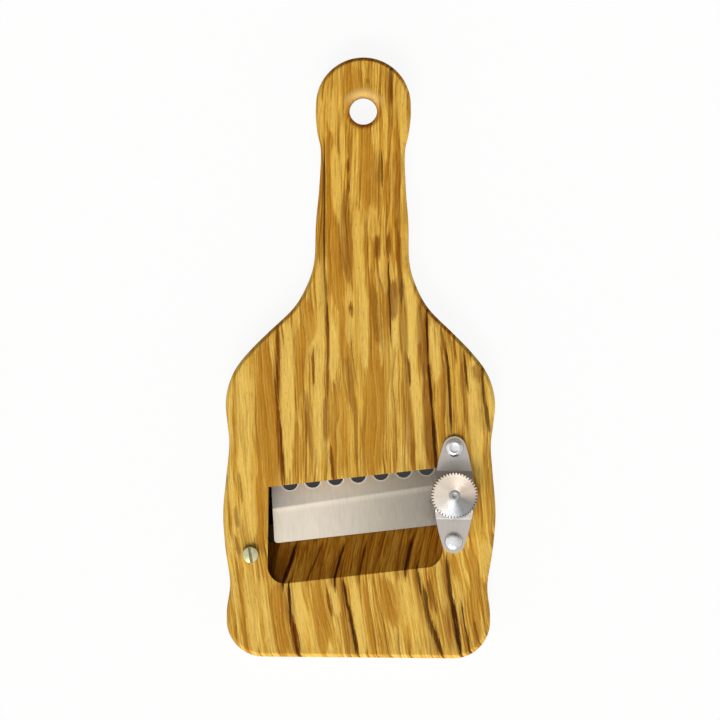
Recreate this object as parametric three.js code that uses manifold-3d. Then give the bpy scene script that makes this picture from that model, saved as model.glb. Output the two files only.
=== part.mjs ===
// A wooden truffle slicer with a thumb-screw blade, in millimetres.
// The board lies on its sole: +Z points out of the face where the slices leave,
// +Y points to the handle, +X to the adjusting knob, and the origin is the middle of the sole.

import * as THREE from 'three';
import { mergeVertices } from 'three/addons/utils/BufferGeometryUtils.js';
import Module from 'manifold-3d';

const wasm = await Module();
wasm.setup();

// Clearances
const fitGap = 0.3;
const pocketGap = 0.6;
const overrun = 5;

// Board
const boardLength = 260;
const boardWidth = 118.1;
const boardThickness = 14;
const boardEdgeRound = 2.2;
const handleEndRadius = 20.55;
const footWidthShare = 0.967;
const footCornerRadius = 16;
const hangHoleRadius = 6;
const hangHoleFromEnd = 23;

// The wavy side, from above the foot corner to the handle.
// Each pair is a share of the board's length above the foot and a share of its half width.
const sideShares = [
  [0.083, 0.964],
  [0.123, 0.945],
  [0.183, 0.982],
  [0.242, 1],
  [0.303, 0.978],
  [0.354, 0.96],
  [0.388, 0.975],
  [0.423, 0.989],
  [0.454, 0.966],
  [0.483, 0.908],
  [0.512, 0.805],
  [0.542, 0.674],
  [0.582, 0.495],
  [0.622, 0.396],
  [0.662, 0.348],
  [0.722, 0.34],
  [0.782, 0.318],
];

// The waist below the handle's round end, in shares of that end's radius:
// how far below the end's centre, and the half width there
const handleWaistShares = [
  [1, 0.886],
  [0.606, 0.961],
  [0.265, 1],
];

// Places of the two screws, from the board's sides and foot
const pivotFromSide = 12.15;
const pivotFromFoot = 44.3;
const knobFromSide = 18.25;
const knobFromFoot = 71;

// Blade
const bladeSkew = THREE.MathUtils.degToRad(7);
const bladeTilt = THREE.MathUtils.degToRad(6);
const bladeWidth = 25.8;
const bladeThickness = 1.2;
const bladeHeelHeight = 3.05;
const bladeFromPivot = 10.5;
const bladeEndLean = THREE.MathUtils.degToRad(3);
const bladeBeyondKnob = 9;
const bladeCornerRadius = 1.5;
const bevelWidth = 10.6;
const bevelLean = THREE.MathUtils.degToRad(1.8);
const edgeThickness = 0.2;
const gulletRadius = 3.42;
const gulletPitch = 10;
const firstGulletInset = 9.5;
const gulletGrindAngle = THREE.MathUtils.degToRad(25);

// Throat
const windowFromPivot = 7.4;
const windowShortOfKnob = 4.8;
const windowFootRadius = 7.5;
const edgeCover = 0.5;
const exitLength = 17.2;
const mouthWidth = 1.6;
const noseReach = 0.8;
const noseThickness = 0.6;

// Pivot plate
const pivotPlateThickness = 1;
const pivotEyeRadius = 5.5;
const pivotArmLength = 25;
const pivotArmWidth = 7.2;
const pivotArmFromNose = 0.5;
const pivotInnerRadius = 2;
const pivotArmRadius = 1.5;

// Pivot screw, a slotted cheese head
const pivotShankRadius = 2;
const pivotHeadRadius = 3.5;
const pivotHeadHeight = 2.6;
const pivotSlotWidth = 1.2;
const pivotSlotDepth = 1.1;
const pivotSlotTurn = THREE.MathUtils.degToRad(99.5);
const pivotTipHeight = 0.6;
const headEdgeRound = 0.4;

// Threaded bushes
const bushFoot = 0.2;
const pivotBushTop = 6.4;
const pivotBushRadius = 4;
const bladeBushTop = 5.6;
const bladeBushRadius = 4.5;
const bushWall = 1;
const bushRimWall = 0.9;

// Thumb screw
const screwRadius = 2.5;
const screwTipHeight = 0.4;
const screwTipChamfer = 0.5;
const screwNeckRadius = 2.3;
const screwGrooveDepth = 0.6;
const screwEndRise = 0.3;
const screwEndChamfer = 0.3;
const dimpleRadius = 0.8;
const dimpleDepth = 0.6;

// Bridge plate
const bridgeThickness = 1.5;
const bridgeRise = 2.4;
const bridgeHalfWidth = 8.45;
const bridgeEndRadius = 5;
const bridgeFlatHalf = 6.4;
const bridgeSlopeRun = 3.5;
const bridgeBendRun = 0.6;

// Rivets and their washers
const rivetSpacing = 40.6;
const rivetShankRadius = 2;
const rivetHeadRadius = 3.95;
const rivetHeadHeight = 1.8;
const rivetHeadFlatRadius = 1.7;
const rivetHeadWall = 0.5;
const rivetTailRadius = 3.1;
const rivetTailHeight = 0.9;
const rivetTailFlatRadius = 2;
const rivetWasherRadius = 4.2;
const rivetWasherThickness = 0.8;
const rivetWellDepth = 2;

// Knob
const knobRadius = 10.15;
const knobSerrationDepth = 0.6;
const knobSerrationWidth = 0.75;
const knobSerrationCount = 44;
const knobThickness = 4.6;
const knobChamfer = 0.4;
const knobHubRadius = 5.5;
const knobHubHeight = 1;

// Retaining clip and friction washer
const clipThickness = 0.7;
const clipOuterRadius = 4.7;
const clipBandWidth = 1.1;
const clipMouthHalfAngle = THREE.MathUtils.degToRad(38);
const clipProngHalfAngle = THREE.MathUtils.degToRad(16);
const frictionWasherRadius = 4.6;
const frictionWasherThickness = 0.5;
const frictionWasherDish = 0.3;

// Facets
const roundSteps = 24;
const hangHoleSteps = 32;
const handleEndSteps = 28;
const footCornerSteps = 10;
const sideSteps = 66;
const cornerSteps = 6;
const edgeRoundSteps = 3;
const bridgeSideSteps = 12;
const bridgeEndSteps = 5;

// Levels above the sole
const footY = -boardLength / 2;
const bridgeFootTop = boardThickness + bridgeThickness;
const bridgeUnder = boardThickness + bridgeRise;
const bridgeTop = bridgeUnder + bridgeThickness;
const frictionWasherTop = bridgeUnder - fitGap;
const frictionWasherFoot = frictionWasherTop - frictionWasherThickness - frictionWasherDish;
const clipTop = frictionWasherFoot - fitGap;
const clipFoot = clipTop - clipThickness;
const knobFoot = bridgeTop + fitGap;
const knobTop = knobFoot + knobHubHeight + knobThickness;
const rivetWasherFoot = rivetWellDepth - rivetWasherThickness;
const bushHeadroom = bladeBushTop + pocketGap;
const pivotBushHeadroom = pivotBushTop + pocketGap;

// Places on the board
const pivot = new THREE.Vector2(-boardWidth / 2 + pivotFromSide, footY + pivotFromFoot);
const knob = new THREE.Vector2(boardWidth / 2 - knobFromSide, footY + knobFromFoot);
const windowLeft = pivot.x + windowFromPivot;
const windowRight = knob.x - windowShortOfKnob;

// The blade's frame starts at the pivot screw: x runs along the blade, y across it to the edge.
// There the blade leans by its tilt about its heel, so that the edge lies next to the sole.
const toBoard = new THREE.Matrix4().makeRotationZ(bladeSkew).setPosition(pivot.x, pivot.y, 0);
const knobInBlade = knob.clone().sub(pivot).rotateAround(new THREE.Vector2(), -bladeSkew);
const heelY = knobInBlade.y - (bladeWidth * Math.cos(bladeTilt)) / 2;
const edgeY = heelY + bladeWidth * Math.cos(bladeTilt);
const tilted = new THREE.Matrix4().makeRotationX(-bladeTilt).setPosition(0, heelY, bladeHeelHeight);

function solidOf(geometry) {
  const bare = new THREE.BufferGeometry();
  bare.setAttribute('position', geometry.getAttribute('position').clone());
  if (geometry.index) bare.setIndex(geometry.index.clone());
  const merged = mergeVertices(bare);
  const corners = merged.index.array;
  const triangles = [];
  for (let i = 0; i < corners.length; i += 3) {
    const [a, b, c] = [corners[i], corners[i + 1], corners[i + 2]];
    if (a !== b && b !== c && c !== a) triangles.push(a, b, c);
  }
  const vertProperties = new Float32Array(merged.getAttribute('position').array);
  const triVerts = new Uint32Array(triangles);
  return new wasm.Manifold(new wasm.Mesh({ numProp: 3, vertProperties, triVerts }));
}

function geometryOf(solid) {
  const { vertProperties, triVerts } = solid.getMesh();
  const geometry = new THREE.BufferGeometry();
  geometry.setAttribute('position', new THREE.BufferAttribute(vertProperties, 3));
  geometry.setIndex(new THREE.BufferAttribute(triVerts, 1));
  return geometry;
}

function joined(base, ...others) {
  return geometryOf(others.reduce((solid, other) => solid.add(solidOf(other)), solidOf(base)));
}

function cut(base, ...tools) {
  return geometryOf(tools.reduce((solid, tool) => solid.subtract(solidOf(tool)), solidOf(base)));
}

function common(base, other) {
  return geometryOf(solidOf(base).intersect(solidOf(other)));
}

// A flat outline pulled up from one level to another
function slab(outline, bottom, top) {
  const shape = new THREE.Shape(outline);
  const geometry = new THREE.ExtrudeGeometry(shape, { depth: top - bottom, bevelEnabled: false });
  return geometry.translate(0, 0, bottom);
}

// A profile in the y-z plane pulled along x
function rail(profile, start, end) {
  const shape = new THREE.Shape(profile.map(([y, z]) => new THREE.Vector2(y, z)));
  const geometry = new THREE.ExtrudeGeometry(shape, { depth: end - start, bevelEnabled: false });
  return geometry.rotateY(Math.PI / 2).rotateX(Math.PI / 2).translate(start, 0, 0);
}

// A turned piece about a vertical axis: pairs of radius and height, from its foot to its top
function turned(profile, centre = new THREE.Vector2(), steps = roundSteps) {
  const points = profile.map(([radius, height]) => new THREE.Vector2(radius, height));
  const geometry = new THREE.LatheGeometry(points, steps);
  return geometry.rotateX(Math.PI / 2).translate(centre.x, centre.y, 0);
}

function rod(radius, bottom, top, centre) {
  return turned([[0, bottom], [radius, bottom], [radius, top], [0, top]], centre);
}

function arcPoints(centre, radius, from, to, steps) {
  return Array.from({ length: steps + 1 }, (_, step) => {
    const angle = THREE.MathUtils.lerp(from, to, step / steps);
    return new THREE.Vector2(centre.x + radius * Math.cos(angle), centre.y + radius * Math.sin(angle));
  });
}

// A closed outline through corners written as x, y and the radius that rounds the corner
function roundedOutline(corners) {
  return corners.flatMap(([x, y, radius], index) => {
    const corner = new THREE.Vector2(x, y);
    if (radius <= 0) return [corner];
    const [lastX, lastY] = corners.at(index - 1);
    const [nextX, nextY] = corners[(index + 1) % corners.length];
    const back = new THREE.Vector2(lastX, lastY).sub(corner).normalize();
    const ahead = new THREE.Vector2(nextX, nextY).sub(corner).normalize();
    const halfAngle = Math.acos(back.dot(ahead)) / 2;
    const inward = back.clone().add(ahead).setLength(radius / Math.sin(halfAngle));
    const centre = corner.clone().add(inward);
    const reach = radius / Math.tan(halfAngle);
    const from = corner.clone().addScaledVector(back, reach).sub(centre).angle();
    const to = corner.clone().addScaledVector(ahead, reach).sub(centre).angle();
    const sweep = Math.atan2(Math.sin(to - from), Math.cos(to - from));
    return arcPoints(centre, radius, from, from + sweep, cornerSteps);
  });
}

// A round head: a short upright wall, a domed shoulder and a small flat, growing up or down
function domePoints(base, wall, height, radius, flatRadius) {
  const direction = Math.sign(height - base);
  const shoulder = base + direction * wall;
  return Array.from({ length: cornerSteps + 1 }, (_, step) => {
    const angle = (step / cornerSteps) * Math.PI / 2;
    const reach = flatRadius + (radius - flatRadius) * Math.cos(angle);
    return [reach, shoulder + (height - shoulder) * Math.sin(angle)];
  });
}

function boardOutline() {
  const halfWidth = boardWidth / 2;
  const footHalfWidth = halfWidth * footWidthShare;
  const cornerCentre = new THREE.Vector2(footHalfWidth - footCornerRadius, footY + footCornerRadius);
  const endCentre = new THREE.Vector2(0, -footY - handleEndRadius);
  const stations = sideShares.map(
    ([up, out]) => new THREE.Vector2(out * halfWidth, footY + up * boardLength),
  );
  const waist = handleWaistShares.map(
    ([down, out]) => new THREE.Vector2(out * handleEndRadius, endCentre.y - down * handleEndRadius),
  );
  const sideStart = new THREE.Vector2(footHalfWidth, cornerCentre.y);
  const sideEnd = new THREE.Vector2(handleEndRadius, endCentre.y);
  const side = new THREE.SplineCurve([sideStart, ...stations, ...waist, sideEnd]).getPoints(sideSteps);
  const corner = arcPoints(cornerCentre, footCornerRadius, -Math.PI / 2, 0, footCornerSteps);
  const rightHalf = [...corner, ...side.slice(1, -1)];
  const end = arcPoints(endCentre, handleEndRadius, 0, Math.PI, handleEndSteps);
  const leftHalf = rightHalf.map(({ x, y }) => new THREE.Vector2(-x, y)).reverse();
  return [...rightHalf, ...end, ...leftHalf];
}

function boardBlank() {
  const shape = new THREE.Shape(boardOutline());
  const holeCentre = new THREE.Vector2(0, -footY - hangHoleFromEnd);
  const hole = arcPoints(holeCentre, hangHoleRadius, 2 * Math.PI, 0, hangHoleSteps).slice(1);
  shape.holes.push(new THREE.Path(hole));
  const geometry = new THREE.ExtrudeGeometry(shape, {
    depth: boardThickness - 2 * boardEdgeRound,
    bevelThickness: boardEdgeRound,
    bevelSize: boardEdgeRound,
    bevelOffset: -boardEdgeRound,
    bevelSegments: edgeRoundSteps,
  });
  return geometry.translate(0, 0, boardEdgeRound);
}

// The throat: an undercut wall above the edge and a ramp below the heel that carries the slices out
function throat() {
  const exitHeadY = edgeY - edgeCover;
  const mouthY = edgeY + mouthWidth;
  const exitFootY = heelY - exitLength;
  const noseY = heelY + noseReach;
  const wallLean = (mouthY - exitHeadY) / boardThickness;
  const rampLean = (noseY - exitFootY) / (boardThickness - noseThickness);
  const profile = [
    [noseY, -overrun],
    [mouthY + wallLean * overrun, -overrun],
    [exitHeadY - wallLean * overrun, boardThickness + overrun],
    [exitFootY - rampLean * overrun, boardThickness + overrun],
    [noseY, noseThickness],
  ];
  const run = rail(profile, -boardWidth, boardWidth).applyMatrix4(toBoard);
  const onBoard = (x, y) => pivot.y + (y + (x - pivot.x) * Math.sin(bladeSkew)) / Math.cos(bladeSkew);
  const headY = mouthY + wallLean * overrun + overrun;
  const outline = roundedOutline([
    [windowLeft, onBoard(windowLeft, exitFootY), windowFootRadius],
    [windowRight, onBoard(windowRight, exitFootY), windowFootRadius],
    [windowRight, onBoard(windowRight, headY), 0],
    [windowLeft, onBoard(windowLeft, headY), 0],
  ]);
  return common(run, slab(outline, -overrun, boardThickness + overrun));
}

// The pocket in the sole that hides the blade's right end
function bladePocket() {
  const wallFromPivot = windowRight - fitGap - pivot.x;
  const wallAt = (y) => (wallFromPivot + y * Math.sin(bladeSkew)) / Math.cos(bladeSkew);
  const far = knobInBlade.x + bladeBeyondKnob + pocketGap;
  const low = -fitGap;
  const high = bladeWidth + fitGap;
  const outline = [
    new THREE.Vector2(wallAt(heelY), low),
    new THREE.Vector2(far, low),
    new THREE.Vector2(far, high),
    new THREE.Vector2(wallAt(edgeY), high),
  ];
  const pocket = slab(outline, -overrun, bladeThickness + fitGap);
  return pocket.applyMatrix4(tilted).applyMatrix4(toBoard);
}

function board() {
  const rivets = rivetCentres();
  return cut(
    boardBlank(),
    throat(),
    bladePocket(),
    slab(pivotPlateOutline(fitGap), -overrun, 0).applyMatrix4(tilted).applyMatrix4(toBoard),
    rod(pivotBushRadius + pocketGap, -overrun, pivotBushHeadroom, pivot),
    rod(pivotShankRadius + fitGap, -overrun, boardThickness + overrun, pivot),
    rod(bladeBushRadius + pocketGap, -overrun, bushHeadroom, knob),
    rod(screwRadius + pocketGap, -overrun, boardThickness + overrun, knob),
    ...rivets.map((centre) => rod(rivetShankRadius + fitGap, -overrun, boardThickness + overrun, centre)),
    ...rivets.map((centre) => rod(rivetWasherRadius + pocketGap, -overrun, rivetWellDepth, centre)),
  );
}

// What the one bevel takes off the exit side, by a plane that runs a little out of line with the edge
function bevelWaste() {
  const slope = Math.atan2(bladeThickness - edgeThickness, bevelWidth);
  const waste = slab([
    new THREE.Vector2(-boardWidth, 0),
    new THREE.Vector2(boardWidth, 0),
    new THREE.Vector2(boardWidth, bladeWidth),
    new THREE.Vector2(-boardWidth, bladeWidth),
  ], 0, overrun);
  return waste
    .rotateX(-slope)
    .rotateZ(bevelLean)
    .translate(bladeFromPivot, bladeWidth - bevelWidth, bladeThickness);
}

function blade() {
  const leanRun = bladeWidth * Math.tan(bladeEndLean);
  const far = knobInBlade.x + bladeBeyondKnob;
  const blank = slab(roundedOutline([
    [bladeFromPivot, 0, bladeCornerRadius],
    [far, 0, bladeCornerRadius],
    [far, bladeWidth, 0],
    [bladeFromPivot + leanRun, bladeWidth, 0],
  ]), 0, bladeThickness);
  const firstGullet = bladeFromPivot + firstGulletInset;
  const gulletCount = Math.floor((far - firstGullet) / gulletPitch) + 1;
  const grindRun = overrun * Math.tan(gulletGrindAngle);
  const gullets = Array.from({ length: gulletCount }, (_, index) => turned([
    [0, -overrun],
    [gulletRadius, -overrun],
    [gulletRadius, 0],
    [gulletRadius + grindRun, overrun],
    [0, overrun],
  ], new THREE.Vector2(firstGullet + index * gulletPitch, bladeWidth)));
  const ground = cut(blank, bevelWaste(), ...gullets).applyMatrix4(tilted);
  return cut(ground, rod(bladeBushRadius - bushWall + fitGap, -overrun, boardThickness, knobInBlade));
}

// A cranked plate: an eye round the pivot screw and an arm that reaches under the blade
function pivotPlateOutline(grow) {
  const eyeY = -heelY / Math.cos(bladeTilt);
  const left = -pivotEyeRadius - grow;
  const inner = pivotEyeRadius + grow;
  const foot = eyeY - pivotEyeRadius - grow;
  const armLow = noseReach + pivotArmFromNose - grow;
  const armHigh = noseReach + pivotArmFromNose + pivotArmWidth + grow;
  const armEnd = pivotArmLength + grow;
  return roundedOutline([
    [left, foot, pivotEyeRadius + grow],
    [inner, foot, pivotEyeRadius + grow],
    [inner, armLow, pivotInnerRadius - grow],
    [armEnd, armLow, pivotArmRadius + grow],
    [armEnd, armHigh, pivotArmRadius + grow],
    [left, armHigh, pivotEyeRadius + grow],
  ]);
}

function pivotPlate() {
  const plate = slab(pivotPlateOutline(0), -fitGap - pivotPlateThickness, -fitGap).applyMatrix4(tilted);
  return cut(plate, rod(pivotBushRadius - bushWall + fitGap, -overrun, boardThickness));
}

// A threaded bush riveted through a leaning plate: collar above, neck in the hole, rim below.
// The band of its wall between the two faces of the plate is turned down to the neck.
function threadedBush({ centre, radius, top, shaftRadius, bandBottom, bandTop }) {
  const neckRadius = radius - bushWall;
  const rimRadius = neckRadius + bushRimWall;
  const middle = bladeHeelHeight - (centre.y - heelY) * Math.tan(bladeTilt) + (bandBottom + bandTop) / 2;
  const body = turned([
    [0, bushFoot],
    [rimRadius, bushFoot],
    [rimRadius, middle],
    [radius, middle],
    [radius, top],
    [0, top],
  ], centre);
  const reach = radius + overrun;
  const acrossY = (centre.y - heelY) / Math.cos(bladeTilt);
  const band = slab([
    new THREE.Vector2(centre.x - reach, acrossY - reach),
    new THREE.Vector2(centre.x + reach, acrossY - reach),
    new THREE.Vector2(centre.x + reach, acrossY + reach),
    new THREE.Vector2(centre.x - reach, acrossY + reach),
  ], bandBottom - fitGap, bandTop + fitGap).applyMatrix4(tilted);
  const flanged = joined(cut(body, band), rod(neckRadius, bushFoot, top, centre));
  return cut(flanged, rod(shaftRadius + fitGap, -overrun, top + overrun, centre));
}

function bladeBush() {
  return threadedBush({
    centre: knobInBlade,
    radius: bladeBushRadius,
    top: bladeBushTop,
    shaftRadius: screwRadius,
    bandBottom: 0,
    bandTop: bladeThickness,
  });
}

function pivotBush() {
  return threadedBush({
    centre: new THREE.Vector2(),
    radius: pivotBushRadius,
    top: pivotBushTop,
    shaftRadius: pivotShankRadius,
    bandBottom: -fitGap - pivotPlateThickness,
    bandTop: -fitGap,
  });
}

function pivotScrew() {
  const headTop = boardThickness + pivotHeadHeight;
  const screw = turned([
    [0, pivotTipHeight],
    [pivotShankRadius, pivotTipHeight],
    [pivotShankRadius, boardThickness],
    [pivotHeadRadius, boardThickness],
    [pivotHeadRadius, headTop - headEdgeRound],
    [pivotHeadRadius - headEdgeRound, headTop],
    [0, headTop],
  ]);
  const slot = new THREE.BoxGeometry(2 * pivotHeadRadius + overrun, pivotSlotWidth, 2 * pivotSlotDepth);
  return cut(screw, slot.rotateZ(pivotSlotTurn).translate(0, 0, headTop));
}

function thumbScrew() {
  const end = knobTop + screwEndRise;
  const shoulder = knobFoot - fitGap;
  return turned([
    [0, screwTipHeight],
    [screwRadius - screwTipChamfer, screwTipHeight],
    [screwRadius, screwTipHeight + screwTipChamfer],
    [screwRadius, clipFoot - fitGap],
    [screwRadius - screwGrooveDepth, clipFoot - fitGap],
    [screwRadius - screwGrooveDepth, clipTop + fitGap],
    [screwRadius, clipTop + fitGap],
    [screwRadius, shoulder],
    [screwNeckRadius, shoulder],
    [screwNeckRadius, end - screwEndChamfer],
    [screwNeckRadius - screwEndChamfer, end],
    [dimpleRadius, end],
    [0, end - dimpleDepth],
  ]);
}

// A knob with notches round its rim, whose two chamfers are turned over the notches
function knobBody() {
  const notchAngle = knobSerrationWidth / knobRadius;
  const notchRadius = knobRadius - knobSerrationDepth;
  const onRim = (radius, angle) => new THREE.Vector2(radius * Math.cos(angle), radius * Math.sin(angle));
  const rim = Array.from({ length: knobSerrationCount }, (_, index) => {
    const middle = (index / knobSerrationCount) * 2 * Math.PI;
    return [
      onRim(knobRadius, middle - notchAngle / 2),
      onRim(notchRadius, middle),
      onRim(knobRadius, middle + notchAngle / 2),
    ];
  }).flat();
  const discFoot = knobFoot + knobHubHeight;
  const turnedBlank = turned([
    [0, discFoot],
    [knobRadius - knobChamfer, discFoot],
    [knobRadius + knobChamfer, discFoot + 2 * knobChamfer],
    [knobRadius + knobChamfer, knobTop - 2 * knobChamfer],
    [knobRadius - knobChamfer, knobTop],
    [0, knobTop],
  ], new THREE.Vector2(), 2 * knobSerrationCount);
  const disc = common(slab(rim, discFoot - overrun, knobTop + overrun), turnedBlank);
  const hub = rod(knobHubRadius, knobFoot, discFoot + knobChamfer);
  return cut(joined(disc, hub), rod(screwNeckRadius + fitGap, knobFoot - overrun, knobTop + overrun));
}

// A sprung clip with three prongs in the screw's groove, open at one side
function retainingClip() {
  const origin = new THREE.Vector2();
  const prongRadius = screwRadius - screwGrooveDepth + fitGap;
  const bandRadius = clipOuterRadius - clipBandWidth;
  const from = clipMouthHalfAngle;
  const to = 2 * Math.PI - clipMouthHalfAngle;
  const outer = arcPoints(origin, clipOuterRadius, from, to, roundSteps);
  const prong = (angle, start, end) => (
    arcPoints(origin, prongRadius, angle + start, angle + end, cornerSteps)
  );
  const firstProng = prong(to, 0, -clipProngHalfAngle);
  const middleProng = prong(Math.PI, clipProngHalfAngle, -clipProngHalfAngle);
  const lastProng = prong(from, clipProngHalfAngle, 0);
  const webFrom = to - 2 * clipProngHalfAngle;
  const webTo = from + 2 * clipProngHalfAngle;
  const upperWeb = arcPoints(origin, bandRadius, webFrom, Math.PI + 2 * clipProngHalfAngle, cornerSteps);
  const lowerWeb = arcPoints(origin, bandRadius, Math.PI - 2 * clipProngHalfAngle, webTo, cornerSteps);
  const inner = [...firstProng, ...upperWeb, ...middleProng, ...lowerWeb, ...lastProng];
  return slab([...outer, ...inner], clipFoot, clipTop);
}

// A dished spring washer between the clip and the bridge
function frictionWasher() {
  const inner = screwRadius + fitGap;
  const crown = frictionWasherFoot + frictionWasherDish;
  return turned([
    [inner, crown],
    [frictionWasherRadius, frictionWasherFoot],
    [frictionWasherRadius, frictionWasherFoot + frictionWasherThickness],
    [inner, crown + frictionWasherThickness],
    [inner, crown],
  ]);
}

// The bridge's plan: a round end at each rivet, joined by two arcs that swell to the full half width
function bridgeOutline() {
  const endY = rivetSpacing / 2;
  const spread = bridgeHalfWidth - bridgeEndRadius;
  const sideRadius = (spread ** 2 + endY ** 2) / (2 * spread) + bridgeEndRadius;
  const sideCentreX = bridgeHalfWidth - sideRadius;
  const sweep = Math.atan2(endY, -sideCentreX);
  const right = arcPoints(new THREE.Vector2(sideCentreX, 0), sideRadius, -sweep, sweep, bridgeSideSteps);
  const head = arcPoints(new THREE.Vector2(0, endY), bridgeEndRadius, sweep, Math.PI / 2, bridgeEndSteps);
  const upperRight = [...right.slice(bridgeSideSteps / 2), ...head.slice(1)];
  const turnedOver = (points, xSign, ySign) => (
    points.map(({ x, y }) => new THREE.Vector2(xSign * x, ySign * y))
  );
  return [
    ...upperRight.slice(0, -1),
    ...turnedOver(upperRight, -1, 1).reverse().slice(0, -1),
    ...turnedOver(upperRight, -1, -1).slice(0, -1),
    ...turnedOver(upperRight, 1, -1).reverse().slice(0, -1),
  ];
}

// The bridge's side view: two feet, two slopes and a raised middle, with softened bends
function bridgeSideView() {
  const reach = rivetSpacing / 2 + bridgeEndRadius + overrun;
  const slopeFoot = bridgeFlatHalf + bridgeSlopeRun;
  const lean = bridgeRise / bridgeSlopeRun;
  const half = (foot, top) => [
    [reach, foot],
    [slopeFoot + bridgeBendRun, foot],
    [slopeFoot - bridgeBendRun, foot + lean * bridgeBendRun],
    [bridgeFlatHalf + bridgeBendRun, top - lean * bridgeBendRun],
    [bridgeFlatHalf - bridgeBendRun, top],
  ];
  const mirrored = (points) => points.map(([y, z]) => [-y, z]).reverse();
  const under = half(boardThickness, bridgeUnder);
  const upper = half(bridgeFootTop, bridgeTop);
  return [...mirrored(under).reverse(), ...under.slice().reverse(), ...upper, ...mirrored(upper)];
}

function bridgePlate() {
  const strip = rail(bridgeSideView(), -bridgeHalfWidth - overrun, bridgeHalfWidth + overrun);
  const plan = slab(bridgeOutline(), boardThickness - overrun, bridgeTop + overrun);
  const holes = [
    rod(screwRadius + fitGap, boardThickness - overrun, bridgeTop + overrun),
    ...[-1, 1].map((side) => rod(
      rivetShankRadius + fitGap,
      boardThickness - overrun,
      bridgeTop + overrun,
      new THREE.Vector2(0, (side * rivetSpacing) / 2),
    )),
  ];
  return cut(common(strip, plan), ...holes);
}

function rivetCentres() {
  return [1, -1].map((side) => new THREE.Vector2(knob.x, knob.y + (side * rivetSpacing) / 2));
}

function rivet() {
  const tailTop = rivetWasherFoot;
  const tail = domePoints(tailTop, 0, tailTop - rivetTailHeight, rivetTailRadius, rivetTailFlatRadius);
  const headHeight = bridgeFootTop + rivetHeadHeight;
  const head = domePoints(bridgeFootTop, rivetHeadWall, headHeight, rivetHeadRadius, rivetHeadFlatRadius);
  return turned([
    [0, tailTop - rivetTailHeight],
    ...tail.reverse(),
    [rivetShankRadius, tailTop],
    [rivetShankRadius, bridgeFootTop],
    [rivetHeadRadius, bridgeFootTop],
    ...head,
    [0, headHeight],
  ]);
}

function rivetWasher() {
  const inner = rivetShankRadius + fitGap;
  return turned([
    [inner, rivetWasherFoot],
    [rivetWasherRadius, rivetWasherFoot],
    [rivetWasherRadius, rivetWellDepth],
    [inner, rivetWellDepth],
    [inner, rivetWasherFoot],
  ]);
}

const finishes = {
  olive: { color: 0xc8923c, roughness: 0.55, metalness: 0 },
  brushed: { color: 0xb9b4ad, roughness: 0.38, metalness: 1 },
  bright: { color: 0xcfcfcf, roughness: 0.25, metalness: 1 },
  turnedFace: { color: 0xd8cfc4, roughness: 0.3, metalness: 1 },
  nickel: { color: 0xc9c5a6, roughness: 0.32, metalness: 1 },
  plain: { color: 0x8c8d90, roughness: 0.4, metalness: 1 },
  blued: { color: 0x2b2622, roughness: 0.45, metalness: 1 },
};

function piece(name, geometry, finish, place = new THREE.Vector2()) {
  const mesh = new THREE.Mesh(geometry, new THREE.MeshStandardMaterial({ ...finish, flatShading: true }));
  mesh.name = name;
  mesh.position.set(place.x, place.y, 0);
  return mesh;
}

const truffleSlicer = new THREE.Group();

const body = new THREE.Group();
const [upperRivet, lowerRivet] = rivetCentres();
body.add(
  piece('board', board(), finishes.olive),
  piece('bridge_plate', bridgePlate(), finishes.brushed, knob),
  piece('upper_rivet', rivet(), finishes.bright, upperRivet),
  piece('lower_rivet', rivet(), finishes.bright, lowerRivet),
  piece('upper_rivet_washer', rivetWasher(), finishes.nickel, upperRivet),
  piece('lower_rivet_washer', rivetWasher(), finishes.nickel, lowerRivet),
  piece('pivot_screw', pivotScrew(), finishes.nickel, pivot),
);

const swingingBlade = new THREE.Group();
swingingBlade.applyMatrix4(toBoard);
swingingBlade.add(
  piece('blade', blade(), finishes.brushed),
  piece('pivot_plate', pivotPlate(), finishes.blued),
  piece('pivot_bush', pivotBush(), finishes.nickel),
  piece('blade_bush', bladeBush(), finishes.nickel),
);

const adjuster = new THREE.Group();
adjuster.position.set(knob.x, knob.y, 0);
adjuster.add(
  piece('thumb_screw', thumbScrew(), finishes.plain),
  piece('knob', knobBody(), finishes.turnedFace),
  piece('retaining_clip', retainingClip(), finishes.blued),
  piece('friction_washer', frictionWasher(), finishes.blued),
);

truffleSlicer.add(body, swingingBlade, adjuster);

export default truffleSlicer;
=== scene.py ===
"""A wooden truffle slicer dressed for its portrait.

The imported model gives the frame: every piece here sits where its solid sits, in metres.
Sizes are written in millimetres and turned into metres by MM.
"""

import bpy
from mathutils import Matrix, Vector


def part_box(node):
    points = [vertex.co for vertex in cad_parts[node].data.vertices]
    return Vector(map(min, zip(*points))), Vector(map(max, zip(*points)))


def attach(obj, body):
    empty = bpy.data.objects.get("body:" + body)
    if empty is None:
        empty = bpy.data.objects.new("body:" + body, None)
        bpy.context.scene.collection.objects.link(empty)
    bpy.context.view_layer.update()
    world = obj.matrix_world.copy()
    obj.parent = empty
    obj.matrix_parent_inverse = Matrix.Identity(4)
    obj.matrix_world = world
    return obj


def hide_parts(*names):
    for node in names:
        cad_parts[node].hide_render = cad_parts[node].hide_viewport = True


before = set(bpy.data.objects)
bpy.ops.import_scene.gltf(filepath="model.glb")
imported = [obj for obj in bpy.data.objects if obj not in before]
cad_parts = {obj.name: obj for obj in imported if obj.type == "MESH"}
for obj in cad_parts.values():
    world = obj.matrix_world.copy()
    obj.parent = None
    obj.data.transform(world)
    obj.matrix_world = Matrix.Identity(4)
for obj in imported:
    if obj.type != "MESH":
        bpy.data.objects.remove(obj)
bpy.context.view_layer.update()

import math

import bmesh
import bpy
from bpy.props import FloatProperty, FloatVectorProperty, IntProperty, PointerProperty
from mathutils import Matrix, Vector

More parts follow.
